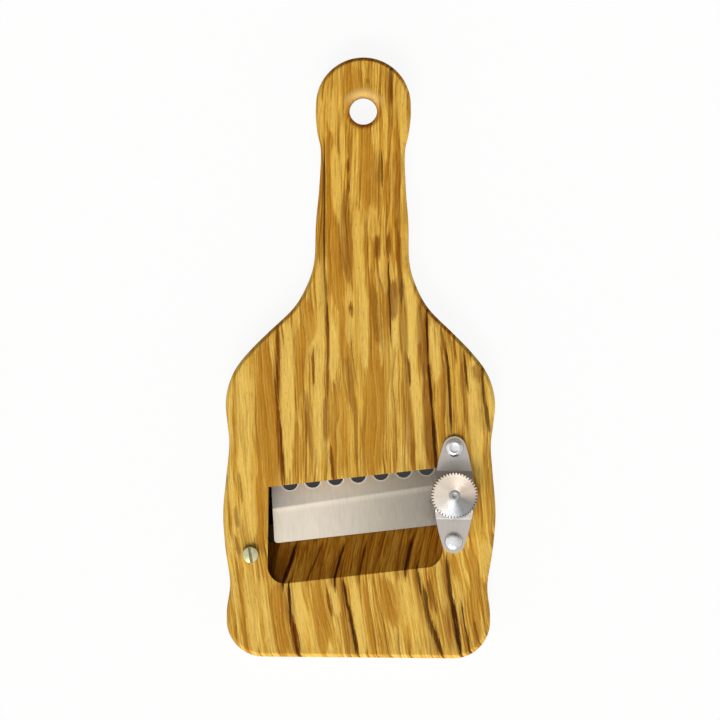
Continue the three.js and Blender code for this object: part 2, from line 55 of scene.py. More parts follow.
bl_info = {
    "name": "Truffle Slicer",
    "version": (1, 0, 0),
    "blender": (4, 5, 0),
    "location": "View3D > Sidebar > Slicer",
    "description": "Models and finishes a wooden truffle slicer with a thumb-screw blade",
    "category": "Object",
}

MM = 0.001
UP = Vector((0, 0, 1))
LEVEL_WITHIN = 1e-6
MERGE_WITHIN = 1e-7

# Levels above the sole, in millimetres
FACE = 14.0
BRIDGE_FOOT_TOP = 15.5
PIVOT_HEAD_TOP = 16.6
RIVET_TOP = 17.3
HUB_FOOT = 18.2
KNOB_FOOT = 19.2
SCREW_END = 24.1

# Holes and wells in the board, in millimetres: radius, and for wells the level of their top
SHANK_HOLE = 2.3
SCREW_HOLE = 3.1
PIVOT_BUSH_WELL = (4.6, 7.0)
BLADE_BUSH_WELL = (5.1, 6.2)
RIVET_WELL = (4.8, 2.0)
# Radii of the holes in the metal, in millimetres
BRIDGE_SCREW_HOLE = 2.8
BLADE_BUSH_HOLE = 3.8
PIVOT_BUSH_HOLE = 3.3
KNOB_BORE = 2.42

# How far cutters run past what they cut, and the gaps that moving pieces keep
PAST = 5
OVERRUN = PAST * MM
FIT_GAP = 0.3 * MM
POCKET_GAP = 0.6 * MM


def srgb(red, green, blue):
    """A screen colour of 0 to 255 as the linear colour that shaders take."""
    shares = [value / 255 for value in (red, green, blue)]
    return tuple(s / 12.92 if s <= 0.04045 else ((s + 0.055) / 1.055) ** 2.4 for s in shares)


def distance(name, description, millimetres):
    return FloatProperty(
        name=name, description=description, default=millimetres * MM, min=0,
        unit="LENGTH", subtype="DISTANCE", precision=5,
    )


def angle(name, description, degrees):
    return FloatProperty(
        name=name, description=description, default=math.radians(degrees),
        unit="ROTATION", subtype="ANGLE",
    )


def number(name, description, default):
    return IntProperty(name=name, description=description, default=default, min=3)


def paint(name, description, *screen_colour):
    return FloatVectorProperty(
        name=name, description=description, default=srgb(*screen_colour),
        size=3, min=0, max=1, subtype="COLOR",
    )


class BoardSizes(bpy.types.PropertyGroup):
    length: distance("Length", "From the foot to the end of the handle", 260)
    width: distance("Width", "Across the widest waves of the sides", 118.02)
    thickness: distance("Thickness", "From the sole to the face", 14)
    rim: distance("Rim", "Width of the chamfer round the rims", 1.5)
    rim_edge: distance("Rim edge", "Width that softens the chamfer's edges", 0.35)
    handle_end: distance("Handle end", "Radius of the handle's round end", 20.55)
    foot_corner: distance("Foot corner", "Radius of the foot's corners", 16)
    hole: distance("Hanging hole", "Radius of the hanging hole", 6)
    hole_from_end: distance("Hole from end", "Hanging hole's centre from the handle's end", 23)
    hole_rounding: distance("Hole rounding", "Radius that rounds the hanging hole's rims", 2.8)
    window_foot: distance("Window foot", "Radius of the window's two lower corners", 7.5)
    window_edge: distance("Window edge", "Width of the softened edge of the window", 0.5)


class BladeSizes(bpy.types.PropertyGroup):
    skew: angle("Skew", "Turn of the blade in the board", 7)
    tilt: angle("Tilt", "Lean of the blade down to its edge", 6)
    width: distance("Width", "From the heel to the edge", 25.8)
    thickness: distance("Thickness", "Of the steel before grinding", 1.2)
    heel_height: distance("Heel height", "Heel's underside above the sole", 3.05)
    from_pivot: distance("From pivot", "Left end from the pivot screw", 10.5)
    beyond_knob: distance("Beyond knob", "Right end past the thumb screw", 9)
    end_lean: angle("End lean", "Lean of the left end", 3)
    corner: distance("Corner", "Radius of the corners at the heel", 1.5)
    bevel: distance("Bevel", "Width of the ground bevel at the left end", 10.6)
    bevel_lean: angle("Bevel lean", "How far the bevel runs out of line with the edge", 1.8)
    edge: distance("Edge", "Thickness left at the edge", 0.2)
    gullet: distance("Gullet", "Radius of each gullet", 3.42)
    pitch: distance("Gullet pitch", "From one gullet to the next", 10)
    first_gullet: distance("First gullet", "First gullet from the left end", 9.5)
    gullet_grind: angle("Gullet grind", "Lean of the gullets' ground walls", 25)


class HardwareSizes(bpy.types.PropertyGroup):
    knob: distance("Knob", "Radius over the serrations", 10.15)
    knob_height: distance("Knob height", "Of the serrated disc", 4.6)
    serration: distance("Serration", "Depth of the serrations", 0.75)
    serration_foot: distance("Serration foot", "Depth of the serrations at the knob's foot", 0.25)
    serration_width: distance("Serration width", "Of each serration at the rim", 0.95)
    serrations: number("Serrations", "How many go round the knob", 44)
    bridge_thickness: distance("Bridge thickness", "Of the bridge's sheet", 1.5)
    bridge_rise: distance("Bridge rise", "Raised middle above the feet", 2.4)
    bridge_half_width: distance("Bridge half width", "At the middle of the bridge", 8.45)
    bridge_end: distance("Bridge end", "Radius of its round ends", 5)
    rivet_spacing: distance("Rivet spacing", "Between the two rivets", 40.6)
    rivet_head: distance("Rivet head", "Radius of the rivets' heads", 3.95)
    screw_head: distance("Screw head", "Radius of the pivot screw's head", 3.5)
    screw_slot: distance("Screw slot", "Width of the screwdriver slot", 1.2)
    screw_slot_turn: angle("Slot turn", "Direction of the slot", 99.5)


class Finishes(bpy.types.PropertyGroup):
    wood_light: paint("Light wood", "Palest flames of the olive wood", 237, 198, 99)
    wood_gold: paint("Golden wood", "Main tone of the olive wood", 219, 170, 66)
    wood_mid: paint("Middle wood", "Broad darker bands", 187, 131, 38)
    wood_brown: paint("Brown wood", "Narrow darker bands", 124, 68, 6)
    wood_dark: paint("Dark grain", "Thin dark lines", 66, 33, 3)
    blade: paint("Blade steel", "Ground blade steel", 236, 227, 212)
    bridge: paint("Bridge steel", "Brushed bridge plate", 196, 190, 184)
    rivet: paint("Rivet metal", "Bright rivet heads", 235, 235, 238)
    nickel: paint("Pale plating", "Plated screw and bushes", 206, 203, 160)
    knob: paint("Knob metal", "Turned knob", 238, 234, 228)
    plain: paint("Plain steel", "Thumb screw", 170, 172, 171)
    # On the cranked plate the blued steel's darkness is also painted shade for the gap beside the
    # blade
    blued: paint("Blued steel", "Cranked plate, clip and spring washer", 46, 38, 32)


def worked_out(operation, reflected=False):
    """One of Python's operators on a signal, as a Math node."""
    def work_out(signal, *other):
        values = (*other, signal) if reflected else (signal, *other)
        return signal.nodes.math(operation, *values)
    return work_out


class Signal:
    """A number that varies over a surface. Python's operators on it add Math nodes."""

    def __init__(self, nodes, socket):
        self.nodes = nodes
        self.socket = socket

    __add__ = __radd__ = worked_out("ADD")
    __sub__, __rsub__ = worked_out("SUBTRACT"), worked_out("SUBTRACT", reflected=True)
    __mul__ = __rmul__ = worked_out("MULTIPLY")
    __truediv__ = worked_out("DIVIDE")
    __pow__ = worked_out("POWER")
    __abs__ = worked_out("ABSOLUTE")


class Nodes:
    """The node tree of one material or of the world."""

    def __init__(self, owner):
        owner.use_nodes = True
        self.owner = owner
        self.tree = owner.node_tree
        self.tree.nodes.clear()

    def node(self, kind, settings, inputs, output=0):
        """Adds a node: its settings first, then the values or links of its sockets."""
        made = self.tree.nodes.new("ShaderNode" + kind)
        for name, value in settings.items():
            if name == "stops":
                ramp = made.color_ramp.elements
                while len(ramp) < len(value):
                    ramp.new(1)
                for element, (place, tone) in zip(ramp, value):
                    element.position = place
                    element.color = (*tone, 1)
            else:
                setattr(made, name, value)
        for key, value in inputs.items():
            socket = made.inputs[key]
            if isinstance(value, Signal):
                self.tree.links.new(value.socket, socket)
            elif socket.type == "RGBA":
                socket.default_value = (*value, 1)
            else:
                socket.default_value = value
        return Signal(self, made.outputs[output]) if made.outputs else made

    def math(self, operation, *values):
        return self.node("Math", {"operation": operation}, dict(enumerate(values)))

    def maximum(self, first, second):
        return self.math("MAXIMUM", first, second)

    def length(self, x, y):
        return self.math("SQRT", x * x + y * y)

    def ray(self, kind):
        """1 for the rays of one kind, such as Camera or Glossy, and 0 for all others."""
        return self.node("LightPath", {}, {}, f"Is {kind} Ray")

    def vector_math(self, operation, *values):
        return self.node("VectorMath", {"operation": operation}, dict(enumerate(values)))

    def xyz(self, x, y, z):
        return self.node("CombineXYZ", {}, {0: x, 1: y, 2: z})

    def place(self, centre=(0, 0, 0)):
        """x, y and z on the piece in millimetres, from centre in metres."""
        where = self.node("TexCoord", {}, {}, "Object")
        moved = self.vector_math("SUBTRACT", where, centre)
        scaled = self.node("VectorMath", {"operation": "SCALE"}, {0: moved, "Scale": 1 / MM})
        return [self.node("SeparateXYZ", {}, {0: scaled}, axis) for axis in range(3)]

    def noise(self, x, y, z, detail=2, roughness=0.5):
        inputs = {"Vector": self.xyz(x, y, z), "Scale": 1, "Detail": detail, "Roughness": roughness}
        return self.node("TexNoise", {"noise_dimensions": "3D"}, inputs)

    def smooth(self, value, low, high, top=1):
        """0 below low and top above high, with a soft change between them."""
        inputs = {"Value": value, "From Min": low, "From Max": high, "To Max": top}
        return self.node("MapRange", {"interpolation_type": "SMOOTHSTEP"}, inputs)

    def blend(self, share, first, second, kind="MIX"):
        settings = {"data_type": "RGBA", "blend_type": kind, "clamp_factor": True}
        return self.node("Mix", settings, {0: share, 6: first, 7: second}, 2)

    def grey(self, value):
        """A number as a grey colour."""
        return self.xyz(value, value, value)

    def shade(self, colour, value):
        """A colour made darker or lighter by a number."""
        return self.blend(1, colour, self.grey(value), "MULTIPLY")

    def rocked(self, direction, amount):
        """The surface's own normal leaned along a direction in the piece's own axes."""
        turned = self.node(
            "VectorTransform",
            {"vector_type": "VECTOR", "convert_from": "OBJECT", "convert_to": "WORLD"},
            {0: direction},
        )
        pushed = self.node("VectorMath", {"operation": "SCALE"}, {0: turned, "Scale": amount})
        facing = self.node("NewGeometry", {}, {}, "Normal")
        return self.vector_math("NORMALIZE", self.vector_math("ADD", facing, pushed))

    def finish(self, inputs):
        """Closes a material with a Principled BSDF."""
        surface = self.node("BsdfPrincipled", {}, inputs)
        self.node("OutputMaterial", {}, {"Surface": surface})
        return self.owner


# Marks of the grain on the face, in millimetres: middle x and y, half width, half length, how far
# the mark drifts to the right for each millimetre down, and its strength
MIDDLE_BANDS = [
    (-40, -33, 4.3, 42, 0.05, 1), (-54.5, -37, 0.7, 18, 0.03, 0.6),
    (-26.5, -2, 2.7, 18, -0.06, 0.85), (-7.5, 10, 1.9, 15, 0.06, 0.9),
    (-9, -31, 3.5, 20, 0.05, 0.6), (-26.5, -41, 1.3, 13, 0.07, 0.7), (5, 20, 1.9, 20, 0.04, 1),
    (6, -24, 4.7, 30, -0.02, 0.95), (10, 21, 1.4, 15, 0.04, 0.9), (34.5, -22, 2.5, 14, 0.05, 0.35),
    (56.5, -48, 0.8, 16, 0.04, 0.7), (-42.5, -67, 2.1, 18, 0.05, 0.9),
    (-48.5, -115, 1.4, 16, 0.12, 0.8), (-34, -114, 3.5, 16, 0.12, 0.95),
    (-16.5, -114, 2.7, 17, 0.11, 0.85), (4.5, -113, 1.2, 17, 0.14, 0.8),
    (13, -105, 3.5, 11, 0.23, 0.95), (50, -100, 1.7, 23, 0.09, 0.85), (-14, 81, 1.8, 19, 0.04, 1),
    (-12, 44, 2.9, 25, 0.09, 0.9), (2, 80, 3.4, 20, 0.07, 0.7), (-23, 15, 3.2, 10, 0.06, 0.7),
    (-5, 118, 5, 9, 0, 0.6), (-50, 8, 2, 7, 0.1, 0.5),
]
LIGHT_FLAMES = [
    (-50, -25, 4.2, 25, 0.02, 0.6), (-31.5, -19, 2.7, 35, 0, 1), (-18, -15, 2.1, 32, 0, 0.8),
    (-12, 3, 1.7, 14, 0, 0.9), (1, 14, 2.2, 20, 0.05, 0.9), (8, 11, 0.5, 17, 0.07, 0.7),
    (15, 11, 1.7, 9, 0.07, 0.85), (22, 13, 2.3, 19, 0.04, 1), (25, -26, 2.3, 23, 0.1, 1),
    (32, 3, 2.2, 14, 0.08, 0.9), (49.5, -28, 2.3, 28, 0.08, 1), (56.5, -19, 1.1, 7, 0.07, 0.8),
    (-47, -65, 2.3, 15, 0.09, 0.8), (-46.5, -110, 2.3, 21, 0.1, 0.7),
    (-40.5, -113, 1.1, 18, 0.12, 0.8), (-25.5, -109, 1.9, 11, 0.12, 0.85),
    (-10.5, -105, 1.9, 7, 0.18, 0.85), (0, -113, 2.1, 18, 0.15, 1),
    (19.5, -105, 1.8, 11, 0.17, 0.7), (36, -99, 1.5, 13, 0.11, 0.9),
    (44.5, -108, 1.1, 14, 0.2, 0.8), (54.5, -87, 2.3, 9, 0.06, 0.7),
    (-18.5, 103, 1.2, 10, 0.04, 0.9), (-14, 107, 2, 10, 0.06, 0.8), (-11.5, 76, 2, 17, 0.06, 1),
    (-18, 26, 1.4, 17, 0.06, 1), (-9, 89, 0.9, 13, 0.06, 0.8), (-1.5, 46, 1.9, 20, 0.05, 0.9),
    (9.5, 100, 0.8, 16, 0.03, 0.8), (17, 107, 2.1, 15, 0.07, 0.85), (4.5, 59, 2.2, 7, 0.08, 0.7),
    (9.5, 37, 1.1, 10, 0.1, 0.7), (13, 35, 0.8, 7, 0.12, 0.7), (22.5, 18, 2.9, 13, 0.18, 1),
    (-5, 18, 2.1, 13, 0, 0.7),
]
BROWN_STREAKS = [
    (-51.5, -57, 0.8, 7, 0.15, 0.5), (-35.8, -5, 0.85, 19, 0.01, 1),
    (-34.2, -39, 0.95, 20, 0.09, 1), (-20.5, -4, 0.5, 8, 0.03, 0.9),
    (-14.3, 3, 0.55, 23, 0.01, 0.9), (-14.6, -27, 1.1, 10, 0.02, 0.6),
    (-11.8, -46, 0.7, 9, 0.13, 1), (-4.2, -12, 1.2, 13, 0.11, 0.6), (-2, -32, 0.6, 18, 0.05, 0.6),
    (-22, -30, 1.1, 16, 0.1, 0.55), (18.5, 14, 1.5, 19, 0.04, 0.6), (21, -25, 1.7, 23, 0.08, 0.5),
    (26.8, 8, 1.7, 18, 0.05, 0.6), (29.6, -28, 1.8, 21, 0.08, 0.6), (35.6, 7, 0.7, 7, 0.14, 0.8),
    (40.5, 4, 0.4, 6, 0.15, 0.8), (45, -16, 0.85, 16, 0.09, 0.6), (50.5, -6, 1.9, 4, 0.18, 0.6),
    (-53, -70, 0.75, 5, 0.13, 0.6), (-52.5, -82, 0.75, 5, 0.23, 0.6), (-27, -121, 1.3, 10, 0.2, 1),
    (-12.5, -106, 0.6, 6, 0.19, 0.8), (32, -103, 0.9, 9, 0.19, 0.8), (51, -120, 1, 7, 0.1, 0.7),
    (-6.3, 53, 2.1, 21, 0.05, 0.55), (-6.4, 83, 0.55, 3, 0.07, 0.9), (-6, 74, 0.55, 2, 0.03, 0.9),
    (6, 77, 1.2, 13, 0.03, 0.3), (12, 113, 1.1, 15, 0.03, 0.5), (15, 71, 1.5, 19, 0.05, 0.4),
    (16.5, 40, 0.9, 18, 0.04, 0.65), (7, 48, 0.9, 6, -0.02, 0.8), (11.5, 49, 1.05, 5, -0.03, 0.8),
    (6.3, 19, 1.5, 14, 0.1, 0.55), (14, 25, 1.8, 9, 0.02, 0.7), (-4.6, 21, 0.65, 3, 0.12, 0.9),
    (2, 119, 0.5, 2, 0.16, 0.7),
]
DARK_LINES = [
    (-35.8, -12, 0.4, 10, 0.01, 0.5), (-33.8, -41, 0.45, 13, 0.08, 0.5),
    (12.2, 24, 0.45, 19, 0.05, 0.85), (17.3, 29, 0.75, 6, -0.01, 0.6),
    (20.8, -5, 0.5, 6, 0.14, 0.7), (28.7, 10, 0.5, 12, 0.04, 1), (30, -11, 0.7, 12, 0.08, 1),
    (32.2, -35, 0.85, 15, 0.09, 1), (38.1, -14, 0.6, 20, 0.07, 0.95),
    (45.7, -5, 0.4, 10, 0.12, 0.85), (53, -13, 0.65, 8, 0.07, 0.85),
    (54.8, -25, 0.9, 7, 0.11, 0.75), (-29.9, -106, 0.6, 10, 0.05, 1),
    (-26.9, -123, 0.6, 8, 0.21, 0.8), (-5.7, -103, 0.7, 8, 0.17, 0.95),
    (-2.4, -118, 0.85, 12, 0.19, 0.95), (26, -96, 0.7, 7, 0.19, 0.85), (30, -109, 1, 11, 0.21, 0.8),
    (34.3, -122, 1, 8, 0.29, 0.9), (39, -96, 0.75, 11, 0.12, 0.9), (42.4, -116, 1.15, 14, 0.17, 1),
    (46.5, -117, 0.45, 13, 0.18, 0.85), (-16.5, 65, 0.5, 30, 0.01, 0.85),
    (-15, 23, 0.6, 18, 0.07, 0.55), (8.2, 82, 0.4, 8, 0.02, 0.8), (12, 118, 0.65, 9, 0.06, 0.5),
    (-33, -91, 0.9, 10, 0.02, 1), (-11, -91, 0.6, 10, 0.05, 1), (-0.5, -89, 0.5, 9, 0.1, 0.8),
    (19.5, -87, 0.8, 9, 0.1, 0.9), (-22, -90, 0.5, 8, -0.1, 0.6),
]


# The middle of the window, and how far it reaches either way, in millimetres
WINDOW_MIDDLE, WINDOW_REACH = (-4.6, -78), (43, 25)
# Linear tints: painted shade in the throat, deeper painted shade at its far left end, painted shade
# on the rims that face away from the light, and the handle that hands touch
THROAT_SHADE, THROAT_END_SHADE = (0.84, 0.64, 0.36), (0.3, 0.26, 0.2)
PAINTED_RIM_SHADE, HANDLED_GRIP = (0.92, 0.68, 0.4), (0.98, 0.92, 0.76)
# The colour of the painted highlight on the hanging hole's upper rim, which faces the light
HOLE_HIGHLIGHT_WOOD = srgb(210, 178, 118)


def marks(nodes, x, y, rows, *profiles):
    """Where the marks of one tone lie: long stripes with short points.

    A profile is the softness of a stripe's sides and how many times wider its left half is.
    """
    covered = [0] * len(profiles)
    for middle_x, middle_y, half_width, half_length, drift, strength in rows:
        along = nodes.math("MULTIPLY_ADD", y, 1 / half_length, -middle_y / half_length)
        offset = nodes.math("MULTIPLY_ADD", x, 1 / half_width, -middle_x / half_width)
        across = nodes.math("MULTIPLY_ADD", along, drift * half_length / half_width, offset)
        point = along * along
        point = point * point
        for index, (soft, left) in enumerate(profiles):
            reach = nodes.maximum(across, across * (-1 / left)) + point
            mark = nodes.smooth(reach, 1 + soft, 1 - soft, strength)
            covered[index] = nodes.maximum(mark, covered[index])
    return covered


def olive_wood(tones, hole):
    """Olive wood with long wavy bands, dark lines, fibres and pores, cut from one solid block.

    A painted highlight lightens the hanging hole's upper rim, which faces the light. Painted shade
    darkens the window and the rims that face away from the light: the far rims and the rim below
    the hanging hole. Hands have darkened the handle.
    """
    nodes = Nodes(bpy.data.materials.new("olive_wood"))
    x, y, z = nodes.place()
    light, gold, middle, brown, dark = (
        tones.wood_light, tones.wood_gold, tones.wood_mid, tones.wood_brown, tones.wood_dark,
    )
    leaned = nodes.math("MULTIPLY_ADD", z, 0.5, x - 7)
    wobble = nodes.noise(x * (1 / 7), y * (1 / 30), z * (1 / 12), detail=3) - 0.5
    sway = nodes.noise(x * (1 / 30), y * (1 / 80), z * (1 / 40)) - 0.5
    wavy = leaned + wobble * 1.5
    drift = nodes.maximum(20 - y, 0) * 0.06 + nodes.maximum(-75 - y, 0) * 0.11
    across = wavy - drift + sway * 5
    fibres = nodes.noise(across * 1.5, y * (1 / 15), z * 0.1, detail=4, roughness=0.65)
    threads = nodes.noise(across * 3.4, y * (1 / 7), z * 0.15, detail=3, roughness=0.7)
    frayed = wavy + (fibres - 0.5) * 2.2
    ends = y + (threads - 0.5) * 14
    figure = nodes.noise(across * (1 / 6), y * (1 / 110), z * (1 / 40), detail=4, roughness=0.65)
    stops = [
        (0.30, middle), (0.38, gold), (0.43, gold), (0.46, middle), (0.48, middle), (0.51, gold),
        (0.55, light), (0.575, light), (0.60, gold), (0.65, middle), (0.72, gold),
    ]
    tone = nodes.node("ValToRGB", {"stops": stops}, {0: figure})
    bands = marks(nodes, frayed, ends, MIDDLE_BANDS, (0.25, 1))[0]
    tone = nodes.blend(bands, tone, middle)
    patches = nodes.noise(x * (1 / 15), y * (1 / 35), z * (1 / 15), detail=1)
    frayed_across = across + (fibres - 0.5) * 0.8
    for rings_in_mm, bend, early, late in ((0.23, 1.6, 0.5, 0.75), (0.75, 2.4, 0.3, 0.55)):
        ring = nodes.math("FRACT", frayed_across * rings_in_mm + (patches - 0.5) * bend)
        tone = nodes.blend(((1 - ring) ** 4) * early, tone, light)
        tone = nodes.blend((ring ** 4) * late * nodes.smooth(patches, 0.3, 0.55), tone, brown)
    tone = nodes.blend(bands * 0.5, tone, middle)
    flames = marks(nodes, frayed, ends, LIGHT_FLAMES, (0.3, 1))[0]
    tone = nodes.blend(flames * 0.85, tone, light)
    broken = nodes.smooth(threads, 0.2, 0.42)
    streaks = marks(nodes, frayed, ends, BROWN_STREAKS, (0.4, 1.5))[0]
    tone = nodes.blend(streaks * broken, tone, brown)
    lines_x = wavy + (fibres - 0.5) * 0.8
    beside, darkest = marks(nodes, lines_x, ends, DARK_LINES, (0.9, 4), (0.4, 1))
    tone = nodes.blend(beside * 0.6, tone, brown)
    uneven = 1 - bands * 0.3
    tone = nodes.blend(nodes.smooth(fibres, 0.52, 0.76) * 0.6 * uneven, tone, brown)
    tone = nodes.blend(nodes.smooth(fibres, 0.47, 0.26) * 0.45 * uneven, tone, light)
    tone = nodes.blend(darkest * broken, tone, dark)
    tone = nodes.shade(tone, threads * 0.7 + 0.65)
    pores = nodes.noise(across * 3.2, y * (1 / 2.2), z * 0.6, detail=1)
    pits = nodes.smooth(pores, 0.63, 0.74)
    tone = nodes.blend(pits * 0.35, tone, brown)
    inside = 1
    for place, middle_at, reach in zip((x, y), WINDOW_MIDDLE, WINDOW_REACH):
        inside = nodes.smooth(abs(place - middle_at), reach + 1, reach - 1) * inside
    off_sole = nodes.smooth(z, 0, 1)
    head_lip = nodes.smooth(y, -80, -65, 0.8)
    deep = inside * off_sole * nodes.smooth(z + head_lip, FACE, FACE - 0.2)
    # Painted shade darkens the wood inside the window, and deeper painted shade blackens its far
    # left end
    tone = nodes.blend(deep, tone, THROAT_SHADE, "MULTIPLY")
    tone = nodes.blend(deep * nodes.smooth(x, -30, -39), tone, THROAT_END_SHADE, "MULTIPLY")
    hole_x, hole_y, _ = nodes.place(hole)
    from_hole = nodes.length(hole_x, hole_y)
    # A painted highlight lightens the hanging hole's upper rim
    hole_highlight = nodes.smooth(from_hole, 10.5, 8.5) * nodes.smooth(hole_y, 1, 6)
    tone = nodes.blend(hole_highlight * 0.7, tone, HOLE_HIGHLIGHT_WOOD)
    # Painted shade darkens the rims that face away from the light: the far shoulders, the handle's
    # end and the rim below the hanging hole
    shoulders = nodes.smooth(abs(x), 24, 30) * nodes.smooth(y, 4, 12)
    far_rims = nodes.maximum(shoulders, nodes.smooth(y, 116, 124))
    hole_foot = nodes.smooth(from_hole, 9, 7.5) * nodes.smooth(hole_y, 3, -2)
    rims = nodes.smooth(z, FACE - 0.05, FACE - 0.5) * off_sole
    rim_shade = rims * nodes.maximum(far_rims, hole_foot)
    tone = nodes.blend(rim_shade, tone, PAINTED_RIM_SHADE, "MULTIPLY")
    tone = nodes.blend(nodes.smooth(y, 10, 55), tone, HANDLED_GRIP, "MULTIPLY")
    height = fibres * -0.5 - pits
    bump = nodes.node("Bump", {}, {"Strength": 0.25, "Distance": 0.06 * MM, "Height": height})
    return nodes.finish({
        "Base Color": tone,
        "Roughness": 0.5 + fibres * 0.16,
        "Specular IOR Level": 0.05,
        "Normal": bump,
    })


def scratches(nodes, side, run, z):
    """Fine parallel scratches that run one way: the finest alone, a broad cloud, and their tone."""
    fine = nodes.noise(side * 9, run * 0.35, z, detail=2)
    coarse = nodes.noise(side * 1.1, run * 0.08, z, detail=3)
    cloud = nodes.noise(side * 0.12, run * 0.12, z * 0.1, detail=2)
    tone = 0.9 + (fine - 0.5) * 0.18 + (coarse - 0.5) * 0.2 + (cloud - 0.5) * 0.14
    return fine, cloud, tone


def brushed_steel(name, colour, along, roughness, rock, metallic=1):
    """Sheet steel with fine parallel scratches that run along one direction."""
    nodes = Nodes(bpy.data.materials.new(name))
    x, y, z = nodes.place()
    lengthwise = Vector(along).normalized()
    sideways = lengthwise.cross(UP).normalized()
    run = x * lengthwise.x + y * lengthwise.y
    side = x * sideways.x + y * sideways.y
    fine, cloud, tone = scratches(nodes, side, run, z)
    return nodes.finish({
        "Base Color": nodes.shade(colour, tone),
        "Metallic": metallic,
        "Roughness": roughness + (fine - 0.5) * 0.2 + (cloud - 0.5) * 0.08,
        "Normal": nodes.rocked(tuple(sideways), (fine - 0.5) * rock),
    })


# Linear tint of the bevel, a cool painted reflection, and the colour of the painted highlights on
# the gullets' ground rims
BEVEL_TINT, GULLET_HIGHLIGHT = (0.87, 0.94, 1), srgb(206, 226, 246)


def ground_steel(name, colour, blade):
    """Blade steel ground across, with a duller bevel in painted shade and a cool painted
    reflection, painted highlights on the ground rims round the gullets and under the bevel line,
    and a painted reflection that fades along the blade.
    """
    nodes = Nodes(bpy.data.materials.new(name))
    _, _, _, heel, _ = blade_frame(blade)
    x, y, z = nodes.place(place_of("pivot_screw"))
    turn, lean = blade.skew, math.tan(blade.bevel_lean)
    along = x * math.cos(turn) + y * math.sin(turn)
    across = y * math.cos(turn) - x * math.sin(turn) - heel / MM
    start, width = blade.from_pivot / MM, blade.width / MM
    from_bevel = across - (along - start) * lean - (width - blade.bevel / MM)
    on_bevel = nodes.smooth(from_bevel, -0.7, 0.5)
    pitch = blade.pitch / MM
    step = nodes.math("FRACT", (along - start - blade.first_gullet / MM) * (1 / pitch) + 0.5) - 0.5
    beside = step * pitch
    beyond = across - width * math.cos(blade.tilt)
    from_gullet = nodes.length(beside, beyond) - blade.gullet / MM
    fine, cloud, tone = scratches(nodes, along, across, z)
    # The reflection is painted brighter at the left end and fading towards the knob
    reflection_fade = 1.1 - nodes.smooth(along, start + 12, start + 70, 0.6)
    # A painted highlight lightens the band just under the bevel line
    below = nodes.smooth(from_bevel, -3.2, -0.8) * (1 - on_bevel) * 0.16
    # Painted shade darkens the bevel towards the blade's left end
    bevel_shade = on_bevel * nodes.smooth(along, start + 34, start, 0.2)
    # Painted highlights lighten the ground rims round the gullets with paler, less metallic steel
    rims = nodes.smooth(from_gullet, 0.9, 0.3, 0.35) * nodes.smooth(along, start + 4, start + 5)
    shade = tone * (reflection_fade + below - bevel_shade + rims)
    # The bevel's cool tint is a painted reflection
    bevel_colour = [value * tint for value, tint in zip(colour, BEVEL_TINT)]
    steel = nodes.blend(on_bevel, colour, bevel_colour)
    steel = nodes.blend(rims * 2.2, steel, GULLET_HIGHLIGHT)
    return nodes.finish({
        "Base Color": nodes.shade(steel, shade),
        "Metallic": 1 - on_bevel * 0.35 - rims * 1.2,
        "Roughness": 0.34 + on_bevel * 0.2 + (fine - 0.5) * 0.2 + (cloud - 0.5) * 0.08,
        "Normal": nodes.rocked((math.cos(turn), math.sin(turn), 0), (fine - 0.5) * 0.5),
    })


# Millimetres from one of the lathe's rings to the next
RING_PITCH = 0.16
# Painted reflections round the knob's face: shares of a turn from its left side by way of its foot,
# and colours
KNOB_REFLECTIONS = [
    (0, (1, 0.93, 0.83)), (0.12, (0.95, 0.93, 0.91)), (0.22, (0.8, 0.86, 0.95)),
    (0.32, (0.4, 0.42, 0.46)), (0.43, (0.34, 0.33, 0.33)), (0.54, (0.8, 0.69, 0.62)),
    (0.66, (0.84, 0.73, 0.66)), (0.8, (0.9, 0.81, 0.72)), (1, (1, 0.93, 0.83)),
]


